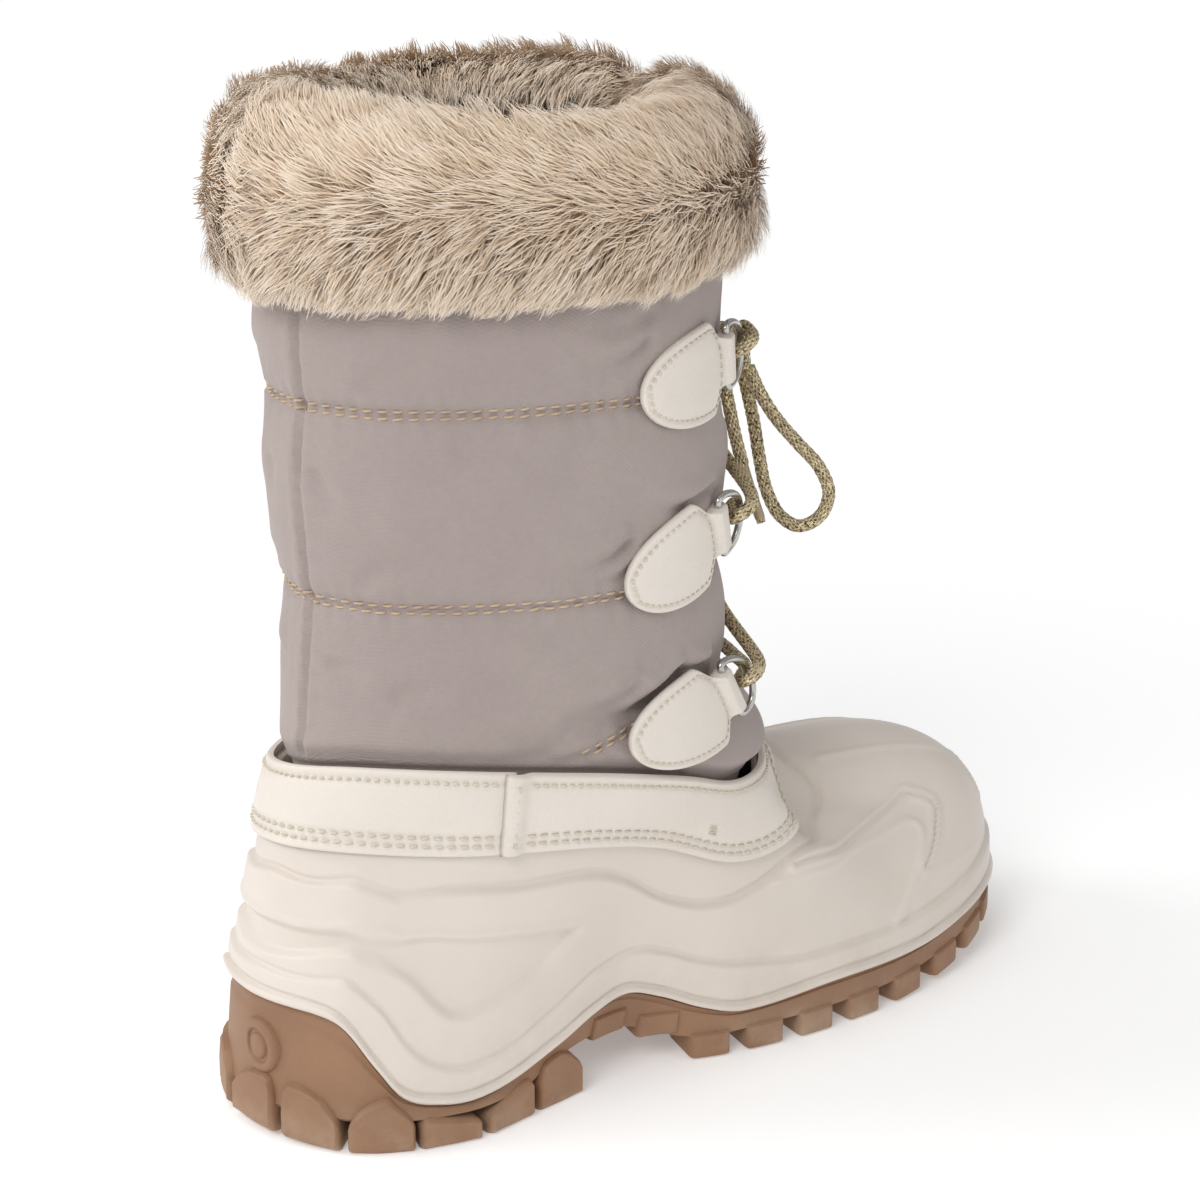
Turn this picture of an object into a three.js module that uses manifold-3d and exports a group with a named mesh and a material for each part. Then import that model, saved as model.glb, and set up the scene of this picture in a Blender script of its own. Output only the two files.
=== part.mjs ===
// A women's snow boot, right foot, standing empty on its sole.
// Millimetres. +X runs to the toe, +Y to the inner side of the foot, +Z up; the floor is z = 0.
import * as THREE from 'three';
import { mergeVertices } from 'three/addons/utils/BufferGeometryUtils.js';
import Module from 'manifold-3d';

const wasm = await Module();
wasm.setup();

// ---------------------------------------------------------------- driving sizes
const gap = 0.3;                 // clearance between pieces that touch
const rimGap = 0.5;              // clearance between the moulded foot and the sole's rim
const footWall = 2.6;            // moulded rubber foot
const bandThickness = 1.8;       // leather ankle band
const shaftWall = 7;             // quilted and padded leg
const shaftTop = 261;            // top edge of the padded leg, under the fur
const legEgg = 0.18;             // how much fuller the front of the leg is than the back
const throatHalf = 15;           // half the width of the front opening
const collar = { bottom: 249, top: 301, frontLift: 5, split: 7 };   // split: degrees either side of the front
const furProud = 12;             // depth of the fur outside the leg
const plate = { heel: 9.5, forefoot: 7.5, arch: 15 };    // underside of the sole between the lugs
const toeSpring = 13;            // rise of the tread at the toe tip
const springStart = 52;          // the tread is flat behind this x
const toeTip = 142.5;
const footbed = { heel: 34, arch: 27, ball: 20, toe: 33 };
const insoleThickness = 4;
const laceDiameter = 4.2;
const ringWire = 2.2;
const columns = 50;              // columns round the foot

// Stations round the foot, from the heel back by the outer side to the toe and home by the inner side.
// footX, footY: outline at the sole's rim. angle, topZ: place on the ankle edge. crown, box: height and
// squareness of the arch of that column. band: width of the ankle band.
const stations = [
  { footX: -140.5, footY: 1, angle: 180, topZ: 111, crown: 111, box: 1.1, band: 24 },
  { footX: -128.5, footY: -29, angle: 206, topZ: 114, crown: 114, box: 1.15, band: 25 },
  { footX: -101, footY: -42.5, angle: 234, topZ: 113, crown: 113, box: 1.2, band: 25.5 },
  { footX: -68, footY: -43.5, angle: 261, topZ: 108.5, crown: 108.5, box: 1.2, band: 24.5 },
  { footX: -36, footY: -43.5, angle: 283, topZ: 101, crown: 101, box: 1.25, band: 25 },
  { footX: -2, footY: -51, angle: 301, topZ: 92, crown: 92, box: 1.3, band: 27 },
  { footX: 33, footY: -56.5, angle: 316, topZ: 89, crown: 82, box: 1.4, band: 26.5 },
  { footX: 71, footY: -55.5, angle: 329, topZ: 89, crown: 64, box: 1.8, band: 25 },
  { footX: 108.5, footY: -46.5, angle: 340, topZ: 90, crown: 62, box: 2.6, band: 20 },
  { footX: 133.5, footY: -29.5, angle: 350, topZ: 90.5, crown: 72, box: 3.2, band: 18 },
  { footX: 142.5, footY: -3, angle: 360, topZ: 90.5, crown: 75.5, box: 3.4, band: 17 },
  { footX: 133, footY: 23, angle: 370, topZ: 90.5, crown: 72, box: 3.2, band: 18 },
  { footX: 110, footY: 42, angle: 380, topZ: 90, crown: 62, box: 2.6, band: 20 },
  { footX: 76, footY: 51, angle: 391, topZ: 89, crown: 64, box: 1.8, band: 25 },
  { footX: 38, footY: 50.5, angle: 404, topZ: 88, crown: 81, box: 1.4, band: 26.5 },
  { footX: 0, footY: 44, angle: 419, topZ: 90, crown: 90, box: 1.3, band: 27 },
  { footX: -34, footY: 39, angle: 437, topZ: 96, crown: 96, box: 1.25, band: 25 },
  { footX: -67, footY: 41, angle: 459, topZ: 101, crown: 101, box: 1.1, band: 24.5 },
  { footX: -100, footY: 43.5, angle: 486, topZ: 104, crown: 104, box: 1.12, band: 24.5 },
  { footX: -128.5, footY: 32, angle: 514, topZ: 107, crown: 107, box: 1.12, band: 24 },
];

// Height of the sole's rim along the foot: high round the heel, a valley under it, a crest at the waist.
const rimLine = [
  { at: -142, z: 43 }, { at: -131, z: 40 }, { at: -124, z: 27 }, { at: -117, z: 16 }, { at: -106, z: 12 },
  { at: -96, z: 11.5 }, { at: -83, z: 14 }, { at: -66, z: 20 }, { at: -52, z: 26 }, { at: -39, z: 29 },
  { at: -26, z: 25 }, { at: -12, z: 18.5 }, { at: 2, z: 14.5 }, { at: 34, z: 16.5 }, { at: 77, z: 16.5 },
  { at: 100, z: 19 }, { at: 121, z: 22 }, { at: 141, z: 26 },
];

// Sections of the leg: middle, half length and half width at each height.
const legSections = [
  { at: 80, middle: -44.5, length: 79, width: 52 },
  { at: 98, middle: -46, length: 78, width: 53 },
  { at: 113, middle: -50, length: 73.5, width: 54 },
  { at: 126, middle: -52.5, length: 68.5, width: 54.5 },
  { at: 145, middle: -53.5, length: 66, width: 56.5 },
  { at: 165, middle: -54.5, length: 66, width: 58 },
  { at: 190, middle: -55.5, length: 66, width: 59.5 },
  { at: 218, middle: -57, length: 66.5, width: 60.5 },
  { at: 240, middle: -58, length: 66, width: 61.5 },
  { at: 300, middle: -58.5, length: 65.5, width: 61.5 },
];

// Quilted rolls of the leg between the stitch rows: how far each swells out of the plain section.
const rolls = [
  { low: 76, high: 124, swell: 2, frontSwell: 4.5 },
  { low: 124, high: 161, swell: 2, frontSwell: 1.5 },
  { low: 161, high: 218, swell: 2.5, frontSwell: 0.5 },
  { low: 218, high: 266, swell: 2, frontSwell: 0.5 },
];

// ---------------------------------------------------------------- small maths
const radians = THREE.MathUtils.degToRad;
const lerp = THREE.MathUtils.lerp;
const clamp = THREE.MathUtils.clamp;
const vec = (x, y, z) => new THREE.Vector3(x, y, z);

function cubic(a, b, c, d, t) {
  return b + 0.5 * t * (c - a + t * (2 * a - 5 * b + 4 * c - d + t * (3 * (b - c) + d - a)));
}

// A smooth value from a table with an "at" column.
function along(table, at, key) {
  const last = table.length - 1;
  let i = table.findIndex((row) => row.at > at) - 1;
  if (i === -2) i = last - 1;
  i = clamp(i, 0, last - 1);
  const slope = (j) => {
    const low = table[Math.max(j - 1, 0)];
    const high = table[Math.min(j + 1, last)];
    return (high[key] - low[key]) / (high.at - low.at);
  };
  const span = table[i + 1].at - table[i].at;
  const t = clamp((at - table[i].at) / span, 0, 1);
  const steps = t * t * (3 - 2 * t);
  return lerp(table[i][key], table[i + 1][key], steps)
    + span * t * (1 - t) * ((1 - t) * slope(i) - t * slope(i + 1));
}

// A smooth value round the foot; turn runs from 0 at the heel back to 1 at the heel back again.
function round(key, turn) {
  const n = stations.length;
  const place = (((turn % 1) + 1) % 1) * n;
  const i = Math.floor(place);
  const pick = (j) => {
    const wrap = key === 'angle' ? 360 * Math.floor(j / n) : 0;
    return stations[((j % n) + n) % n][key] + wrap;
  };
  return cubic(pick(i - 1), pick(i), pick(i + 1), pick(i + 2), place - i);
}

function bisect(low, high, isBelow) {
  for (let i = 0; i < 30; i += 1) {
    const middle = (low + high) / 2;
    if (isBelow(middle)) low = middle;
    else high = middle;
  }
  return (low + high) / 2;
}

const rimZ = (x) => along(rimLine, x, 'z');
const spring = (x) => toeSpring * clamp((x - springStart) / (toeTip - springStart), 0, 1.1) ** 2;

function footbedZ(x) {
  const table = [
    { at: -142, z: footbed.heel }, { at: -85, z: footbed.heel }, { at: -35, z: footbed.arch },
    { at: 25, z: footbed.ball }, { at: 75, z: footbed.ball + 1.5 }, { at: 142, z: footbed.toe },
  ];
  return along(table, x, 'z');
}

function plateZ(x) {
  const table = [
    { at: -142, z: plate.heel }, { at: -78, z: plate.heel }, { at: -62, z: plate.arch },
    { at: -38, z: plate.arch }, { at: -15, z: plate.forefoot }, { at: 10, z: plate.forefoot },
  ];
  return along(table, Math.min(x, 10), 'z') + spring(x);
}

// ---------------------------------------------------------------- forms of the leg and the foot
// A point of the leg's plain section at a height, pushed out by some millimetres.
function legPoint(angle, z, out = 0) {
  const t = radians(angle);
  const middle = along(legSections, z, 'middle');
  const length = along(legSections, z, 'length');
  const width = along(legSections, z, 'width');
  const point = vec(
    middle + length * Math.cos(t),
    width * Math.sin(t) * (1 + legEgg * Math.cos(t)),
    z,
  );
  const tangent = vec(
    -length * Math.sin(t),
    width * (Math.cos(t) + legEgg * Math.cos(2 * t)),
    0,
  ).normalize();
  return point.add(vec(tangent.y, -tangent.x, 0).multiplyScalar(out));
}

function swellAt(angle, z) {
  const roll = rolls.find((r) => z >= r.low && z <= r.high);
  if (!roll) return 0;
  const t = (z - roll.low) / (roll.high - roll.low);
  const front = 0.5 + 0.5 * Math.cos(radians(angle));
  return (roll.swell + roll.frontSwell * front ** 2) * Math.sin(Math.PI * t) ** 0.7;
}

const ankleOut = footWall + gap + 0.4;
const instepBend = 9;            // how late the instep turns up to the ankle

// A point of the moulded foot: turn goes round it, rise from 0 at the rim to 1 at the ankle edge.
function footPoint(turn, rise) {
  const foot = vec(round('footX', turn), round('footY', turn), 0);
  foot.z = rimZ(foot.x) + rimGap / 2;
  const topZ = round('topZ', turn);
  const top = legPoint(round('angle', turn), topZ, ankleOut);
  const crown = round('crown', turn);
  const box = round('box', turn);
  const across = Math.max(Math.cos(rise * Math.PI / 2), 0);
  const up = Math.sin(rise * Math.PI / 2);
  const reach = (across ** box + up ** box) ** (-1 / box);
  const inward = 1 - across * reach;
  const upward = up * reach;
  const z = foot.z + (crown - foot.z) * upward + (topZ - crown) * inward ** instepBend;
  return vec(lerp(foot.x, top.x, inward), lerp(foot.y, top.y, inward), z);
}

// The same surface moved along its normal.
function footSkin(turn, rise, out) {
  const step = 0.004;
  const low = clamp(rise - step, 0.002, 0.998);
  const high = clamp(rise + step, 0.002, 0.998);
  const up = footPoint(turn, high).sub(footPoint(turn, low));
  const side = footPoint(turn + step, clamp(rise, 0.002, 0.998))
    .sub(footPoint(turn - step, clamp(rise, 0.002, 0.998)));
  const normal = side.cross(up).normalize();
  if (rise === 0) normal.setZ(0).normalize();
  return footPoint(turn, rise).add(normal.multiplyScalar(out));
}

const riseAtZ = (turn, z) => bisect(0, 1, (rise) => footPoint(turn, rise).z < z);

// The rise of the points of one column that lie some distances up its surface from the rim.
function risesAlong(turn, lengthsOf) {
  const samples = 60;
  const lengths = [0];
  let last = footPoint(turn, 0);
  for (let i = 1; i <= samples; i += 1) {
    const next = footPoint(turn, i / samples);
    lengths.push(lengths[i - 1] + next.distanceTo(last));
    last = next;
  }
  return lengthsOf(lengths[samples]).map((length) => {
    const i = clamp(lengths.findIndex((l) => l > length) - 1, 0, samples - 1);
    const known = length < lengths[samples] ? i : samples - 1;
    return (known + (length - lengths[known]) / (lengths[known + 1] - lengths[known])) / samples;
  });
}

// Rows of the moulded foot: even steps up to the ankle band's lower edge, then the band's own rows.
const lowerRows = 7;
const ankleHem = 3;              // the band stands this far above the moulded foot's top edge

function columnRises(turn) {
  const width = round('band', turn);
  return risesAlong(turn, (total) => {
    const edge = total - width;
    const below = Array.from({ length: lowerRows }, (_, i) => edge * i / lowerRows);
    return [...below, edge, edge + width * 0.45, total - ankleHem, total];
  });
}

// ---------------------------------------------------------------- mesh helpers
// Builds a mesh from rows of points, each row a closed loop; wrap joins the last row to the first.
// A thin section has its outer face first and its inner face from the point numbered turnFrom on: there the
// four-sided faces are split along their other diagonal, and its ends are closed by strips, not fans.
function skinRows(rows, wrap, turnFrom = Infinity) {
  const count = rows[0].length;
  const position = rows.flat().flatMap((p) => [p.x, p.y, p.z]);
  const index = [];
  const links = wrap ? rows.length : rows.length - 1;
  for (let i = 0; i < links; i += 1) {
    const here = i * count;
    const next = ((i + 1) % rows.length) * count;
    for (let j = 0; j < count; j += 1) {
      const k = (j + 1) % count;
      if (j < turnFrom) index.push(here + j, here + k, next + k, here + j, next + k, next + j);
      else index.push(here + j, here + k, next + j, here + k, next + k, next + j);
    }
  }
  for (const [row, flip] of wrap ? [] : [[0, true], [rows.length - 1, false]]) {
    const first = row * count;
    const face = (a, b, c) => index.push(first + a, first + (flip ? c : b), first + (flip ? b : c));
    if (turnFrom === Infinity) {
      const middle = rows[row].reduce((sum, p) => sum.add(p), vec(0, 0, 0)).divideScalar(count);
      position.push(middle.x, middle.y, middle.z);
      const centre = position.length / 3 - 1 - first;
      for (let j = 0; j < count; j += 1) face(centre, j, (j + 1) % count);
    } else {
      for (let j = 0; j + 1 < turnFrom; j += 1) {
        face(j, j + 1, count - 2 - j);
        face(j, count - 2 - j, count - 1 - j);
      }
    }
  }
  const geometry = new THREE.BufferGeometry();
  geometry.setAttribute('position', new THREE.Float32BufferAttribute(position, 3));
  geometry.setIndex(index);
  return facingOut(geometry);
}

function facingOut(geometry) {
  const p = geometry.attributes.position;
  const index = geometry.index;
  const [a, b, c] = [vec(0, 0, 0), vec(0, 0, 0), vec(0, 0, 0)];
  let volume = 0;
  for (let i = 0; i < index.count; i += 3) {
    a.fromBufferAttribute(p, index.getX(i));
    b.fromBufferAttribute(p, index.getX(i + 1));
    c.fromBufferAttribute(p, index.getX(i + 2));
    volume += a.dot(b.cross(c));
  }
  if (volume < 0) {
    const turned = Array.from(index.array);
    for (let i = 0; i < turned.length; i += 3) [turned[i], turned[i + 1]] = [turned[i + 1], turned[i]];
    geometry.setIndex(turned);
  }
  return geometry;
}

// A sheet of real thickness: at(u, v, depth) gives its points, depth being 0 inside and 1 outside.
// An open sheet is lofted from end to end; a closed one runs round.
function slab(steps, rowsAcross, at, closed) {
  const rows = [];
  const last = closed ? steps - 1 : steps;
  for (let i = 0; i <= last; i += 1) {
    const u = i / steps;
    const loop = [];
    for (let j = 0; j <= rowsAcross; j += 1) loop.push(at(u, j / rowsAcross, 1));
    for (let j = rowsAcross; j >= 0; j -= 1) loop.push(at(u, j / rowsAcross, 0));
    rows.push(loop);
  }
  return skinRows(rows, closed, rowsAcross + 1);
}

function solidOf(geometry) {
  const bare = geometry.clone();
  bare.deleteAttribute('normal');
  bare.deleteAttribute('uv');
  const merged = mergeVertices(bare, 1e-4);
  const vertProperties = new Float32Array(merged.attributes.position.array);
  const triVerts = new Uint32Array(merged.index.array);
  return new wasm.Manifold(new wasm.Mesh({ numProp: 3, vertProperties, triVerts }));
}

function geometryOf(solid) {
  const mesh = solid.getMesh();
  const geometry = new THREE.BufferGeometry();
  geometry.setAttribute('position', new THREE.Float32BufferAttribute(mesh.vertProperties, 3));
  geometry.setIndex(Array.from(mesh.triVerts));
  return geometry;
}

function joined(geometries) {
  return geometries.map(solidOf).reduce((sum, part) => sum.add(part));
}

// A round cord along a smooth curve through some points.
function cordAlong(points, diameter, steps, sides = 8) {
  const curve = new THREE.CatmullRomCurve3(points, false, 'centripetal');
  const profile = new THREE.Shape();
  profile.absarc(0, 0, diameter / 2, 0, Math.PI * 2, false);
  return new THREE.ExtrudeGeometry(profile, {
    steps, curveSegments: sides / 2, bevelEnabled: false, extrudePath: curve,
  });
}

// ---------------------------------------------------------------- materials and the scene
const finishes = {
  gum: { color: 0x9a7350, roughness: 0.6, metalness: 0 },
  foot: { color: 0xd8cfc0, roughness: 0.55, metalness: 0 },
  leather: { color: 0xe0d8ca, roughness: 0.5, metalness: 0 },
  cloth: { color: 0x9c9190, roughness: 0.9, metalness: 0 },
  fur: { color: 0xcdb89c, roughness: 1, metalness: 0 },
  felt: { color: 0x8a7865, roughness: 1, metalness: 0 },
  steel: { color: 0xb9b9b9, roughness: 0.3, metalness: 1 },
  cord: { color: 0xb9a67e, roughness: 0.7, metalness: 0.2 },
};

const boot = new THREE.Group();
boot.name = 'snow_boot';

function addPiece(name, geometry, finish) {
  geometry.computeVertexNormals();
  const mesh = new THREE.Mesh(geometry, new THREE.MeshStandardMaterial(finishes[finish]));
  mesh.name = name;
  boot.add(mesh);
  return mesh;
}

// ---------------------------------------------------------------- upper: the moulded foot
const upperRows = lowerRows + 2;
addPiece('upper', slab(columns, upperRows, (turn, v, depth) => {
  const rise = columnRises(turn)[Math.round(v * upperRows)];
  return footSkin(turn, rise, depth ? 0 : -footWall);
}, true), 'foot');

// ---------------------------------------------------------------- outsole
const soleInset = footWall + gap + 0.7;
const rimProud = 1;

function outlinePoint(turn, out, z) {
  const step = 0.004;
  const x = round('footX', turn);
  const y = round('footY', turn);
  const side = vec(round('footX', turn + step) - x, round('footY', turn + step) - y, 0).normalize();
  return vec(x + side.y * out, y - side.x * out, z);
}

// How far the foot of the sole's side stands outside its rim: proud at the heel, drawn in at the waist.
function soleFlare(x) {
  return 1 + 2.6 * clamp((-70 - x) / 25, 0, 1) - 5 * Math.exp(-(((x + 34) / 22) ** 2));
}

// The heel's back edge and the toe are rounded off the floor.
const treadLow = (x) => spring(x) + 2.5 * clamp((-122 - x) / 20, 0, 1) ** 2;

const bedRings = [0.55];         // the footbed and the insole share this ring
const bedMiddle = vec(-5, 0, 0);

function ringsToMiddle(loop, fractions, middle, heightAt) {
  return fractions.map((f) => loop.map((p) => {
    const x = lerp(middle.x, p.x, f);
    return vec(x, lerp(middle.y, p.y, f), heightAt(x));
  }));
}

function makeSoleBody() {
  const turns = Array.from({ length: columns }, (_, i) => i / columns);
  const bottom = turns.map((t) => {
    const p = outlinePoint(t, 0, 0);
    return outlinePoint(t, soleFlare(p.x), plateZ(p.x));
  });
  const rim = turns.map((t) => outlinePoint(t, rimProud, rimZ(round('footX', t)) - rimGap / 2));
  const ledge = turns.map((t) => outlinePoint(t, -soleInset, rimZ(round('footX', t)) - rimGap * 1.5));
  const bed = turns.map((t) => {
    const z = footbedZ(round('footX', t));
    const isAbove = z > rimZ(round('footX', t)) + 1;
    if (!isAbove) return outlinePoint(t, -soleInset, z);
    const p = footSkin(t, riseAtZ(t, z), -soleInset);
    return vec(p.x, p.y, z);
  });
  const rows = [
    ...ringsToMiddle(bottom, [0.06, 0.36, 0.68], bedMiddle, plateZ),
    bottom, rim, ledge, bed,
    ...ringsToMiddle(bed, bedRings, bedMiddle, footbedZ),
  ];
  return skinRows(rows, false);
}

// One lug: a block that follows the edge of the sole, from the edge inwards.
function edgeLug(turn, { length, depth, drop, climb, bevel }) {
  const perTurn = outlinePoint(turn + 0.005, 0, 0).distanceTo(outlinePoint(turn - 0.005, 0, 0)) / 0.01;
  const half = length / 2 / perTurn;
  const x = outlinePoint(turn, 0, 0).x;
  const low = treadLow(x);
  const edge = soleFlare(x) + 0.8;
  const top = Math.min(low + drop + climb, rimZ(x) - 2);
  const raised = bevel + 0.25 * clamp(-5 - x, 0, 30) * Math.sign(bevel);
  const loop = (out, inn, trim, z, lift = 0) => [
    outlinePoint(turn - half * trim, out, z + lift), outlinePoint(turn + half * trim, out, z + lift),
    outlinePoint(turn + half * trim * 0.8, -inn, z), outlinePoint(turn - half * trim * 0.8, -inn, z),
  ];
  return skinRows([
    loop(edge, depth, 0.86, low, raised),
    loop(edge, depth, 1, low + drop, raised / 2),
    loop(rimProud + 0.6, depth, climb > 8 ? 0.45 : 1, top),
  ], false);
}

// A tread bar under the middle of the sole.
function treadBar(x, y, length, width, turnBy) {
  const low = spring(x);
  const c = Math.cos(radians(turnBy));
  const s = Math.sin(radians(turnBy));
  const loop = (grow, z) => [[-1, -1], [1, -1], [1, 1], [-1, 1]].map(([i, j]) => {
    const u = i * (width / 2 + grow);
    const v = j * (length / 2 + grow);
    return vec(x + u * c - v * s, y + u * s + v * c, z);
  });
  return skinRows([loop(-0.8, low), loop(0, low + 5), loop(0, plateZ(x) + 3)], false);
}

function heelBoss() {
  const radius = 8.5;
  const profile = [[0, -3], [radius, -3], [radius, 0.6], [radius - 1, 1.2], [0, 1.2]]
    .map(([r, h]) => new THREE.Vector2(r, h));
  const boss = new THREE.LatheGeometry(profile, 14);
  boss.rotateZ(Math.PI / 2);
  const seat = outlinePoint(0.004, (soleFlare(-141) + rimProud) / 2, 27);
  boss.translate(seat.x, seat.y, seat.z);
  return boss;
}

const heelLugs = { first: -0.158, last: 0.158, count: 11, length: 17.5, depth: 19, drop: 5, climb: 13, bevel: 0 };
const foreLugs = { first: 0.2415, last: 0.7585, count: 20, length: 13, depth: 17, drop: 4, climb: 5, bevel: 4 };

function lugRow(row) {
  return Array.from({ length: row.count }, (_, i) => {
    const turn = lerp(row.first, row.last, i / (row.count - 1));
    return edgeLug(turn, row);
  });
}

function middleBars() {
  const heel = [-108, -86].map((x) => treadBar(x, 0, 34, 11, 0));
  const fore = [4, 30, 56, 82].flatMap((x) => [
    treadBar(x, -15, 24, 11, 24),
    treadBar(x, 15, 24, 11, -24),
  ]);
  return [...heel, ...fore];
}

addPiece('outsole', geometryOf(joined([
  makeSoleBody(), ...lugRow(heelLugs), ...lugRow(foreLugs), ...middleBars(), heelBoss(),
])), 'gum');

// ---------------------------------------------------------------- insole
function makeInsole() {
  const loopAt = (height) => Array.from({ length: columns }, (_, i) => {
    const turn = i / columns;
    const foot = outlinePoint(turn, 0, 0);
    const z = footbedZ(foot.x) + height;
    const isAbove = z > rimZ(foot.x) + 1;
    const p = isAbove ? footSkin(turn, riseAtZ(turn, z), -soleInset - 1.2)
      : outlinePoint(turn, -soleInset - 1.2, z);
    return vec(p.x, p.y, z);
  });
  const lift = 1.2;
  const low = loopAt(lift);
  const high = loopAt(lift + insoleThickness);
  return skinRows([
    ...ringsToMiddle(low, bedRings, bedMiddle, (x) => footbedZ(x) + lift),
    low, high,
    ...ringsToMiddle(high, bedRings, bedMiddle, (x) => footbedZ(x) + lift + insoleThickness),
  ], false);
}
addPiece('insole', makeInsole(), 'felt');

// ---------------------------------------------------------------- ankle band, in two lengths
const bandSeam = { outer: 6 / columns, inner: 1 - 6 / columns };   // turns at which the two lengths meet
const seamGap = 0.0008;          // of a turn
const bandRows = 3;

function bandPoint(turn, v, depth) {
  const rise = columnRises(turn)[lowerRows + Math.round(v * bandRows)];
  return footSkin(turn, rise, depth ? gap + bandThickness : gap);
}

function makeBand(from, to, steps) {
  return slab(steps, bandRows, (u, v, depth) => bandPoint(lerp(from, to, u), v, depth), false);
}
addPiece('ankle_band_heel', makeBand(bandSeam.inner - 1 + seamGap, bandSeam.outer - seamGap, 12), 'leather');
addPiece('ankle_band_front', makeBand(bandSeam.outer, bandSeam.inner, 38), 'leather');

// ---------------------------------------------------------------- shaft: the quilted leg
const tuck = 8;                  // how far the leg goes down inside the foot
const shaftHeights = [124, 134, 148, 161, 176, 197, 218, 236, shaftTop];
const shaftRows = shaftHeights.length + 2;

// Rows of one column: the tucked hem, the ankle edge, half way up the lowest roll, then level heights.
function shaftHeight(turn, row) {
  const topZ = round('topZ', turn);
  if (row < 3) return [topZ - tuck, topZ, (topZ + shaftHeights[0]) / 2][row];
  return shaftHeights[row - 3];
}

function shaftPoint(turn, row, depth) {
  const topZ = round('topZ', turn);
  const angle = round('angle', turn);
  const z = shaftHeight(turn, row);
  const thin = lerp(0.55, 1, clamp((z - topZ) / 40, 0, 1));
  const inset = depth ? 0 : shaftWall * thin;
  if (z < topZ) {
    const drift = footPoint(turn, riseAtZ(turn, z)).sub(footPoint(turn, 1)).setZ(0);
    const outward = legPoint(angle, z, 1).sub(legPoint(angle, z, 0));
    return legPoint(angle, z, Math.min(0, drift.dot(outward)) - 1.2 - inset);
  }
  const swell = swellAt(angle, z) * clamp((z - topZ) / 6, 0, 1);
  return legPoint(angle, z, depth ? swell : -swell * 0.3 - inset);
}

const throatAngle = THREE.MathUtils.radToDeg(Math.asin(throatHalf / 72));
const throat = {
  from: bisect(0.3, 0.5, (t) => round('angle', t) < 360 - throatAngle),
  to: bisect(0.5, 0.7, (t) => round('angle', t) < 360 + throatAngle),
};

// The leg runs from one side of the front opening round the back to the other side.
addPiece('shaft', slab(32, shaftRows, (u, v, depth) => {
  const turn = lerp(throat.to - 1, throat.from, u);
  return shaftPoint(turn, Math.round(v * shaftRows), depth);
}, false), 'cloth');

// ---------------------------------------------------------------- tongue
const tongueHalf = 30;           // degrees either side of the front
const tongue = { bottom: 92, top: 258, thickness: 5 };
addPiece('tongue', slab(6, 8, (u, v, depth) => {
  const angle = lerp(-tongueHalf, tongueHalf, u);
  const z = lerp(tongue.bottom, tongue.top, v);
  const inside = shaftWall + gap + 1.2 + 1.3;
  const edge = 1 - (2 * u - 1) ** 4;
  return legPoint(angle, z, -inside - (depth ? 0 : 1.5 + (tongue.thickness - 1.5) * edge));
}, false), 'cloth');

// ---------------------------------------------------------------- fur collar
// Section of the rolled fur cuff: out from the leg's plain section, and height.
const collarSection = [
  { out: 3.6, z: collar.bottom }, { out: 9, z: collar.bottom + 2 }, { out: furProud, z: collar.bottom + 12 },
  { out: furProud, z: collar.bottom + 30 }, { out: 9, z: collar.bottom + 43 },
  { out: 2, z: collar.top - 1 }, { out: -6, z: collar.top }, { out: -13, z: collar.top - 5 },
  { out: -16.5, z: collar.top - 16 }, { out: -16.5, z: shaftTop + 9 }, { out: -13, z: shaftTop + 3 },
  { out: -4, z: shaftTop + 1.2 }, { out: 3.6, z: shaftTop + 1.2 },
];
const collarCore = { out: -2, z: 281 };

function collarRow(angle) {
  const fromEnd = Math.min(angle - collar.split, 360 - collar.split - angle);
  const round01 = clamp(fromEnd / 9, 0, 1);
  const full = lerp(0.62, 1, Math.sqrt(1 - (1 - round01) ** 2));
  return collarSection.map((p) => {
    const out = lerp(collarCore.out, p.out, full);
    const z = lerp(collarCore.z, p.z, full);
    const lift = p.z < shaftTop ? collar.frontLift * (0.5 + 0.5 * Math.cos(radians(angle))) ** 2 : 0;
    return legPoint(angle, z, out).setZ(z + lift);
  });
}

const collarAngles = [0, 2, 7];
for (let a = 20; a < 165; a += 13) collarAngles.push(a);
const collarTurns = [
  ...collarAngles.map((a) => collar.split + a),
  180,
  ...[...collarAngles].reverse().map((a) => 360 - collar.split - a),
].filter((a, i, all) => i === 0 || a > all[i - 1] + 0.5);
addPiece('fur_collar', skinRows(collarTurns.map(collarRow), false), 'fur');

// ---------------------------------------------------------------- lace tabs and their rings
// Leather tabs of each side, from the lowest up: height of the middle, how far the back end hangs, and
// degrees from the front to the folded end.
const tabs = [{ z: 118, tilt: 14, front: 52 }, { z: 169, tilt: 18, front: 52 }, { z: 222, tilt: 8, front: 46 }];
const tabSize = { length: 42, height: 29, hem: 15, thickness: 2 };
const hemThickness = 5.4;
const hemLength = 6;
const perDegree = 1.1;           // millimetres of the leg's girth
const sides = [{ word: 'outer', turn: -1 }, { word: 'inner', turn: 1 }];

// How far the leg stands out near a height: the fullest of the rolls within reach.
function fullest(angle, z, reach) {
  return Math.max(...[-1, -0.5, 0, 0.5, 1].map((step) => swellAt(angle, z + step * reach)));
}

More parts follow.
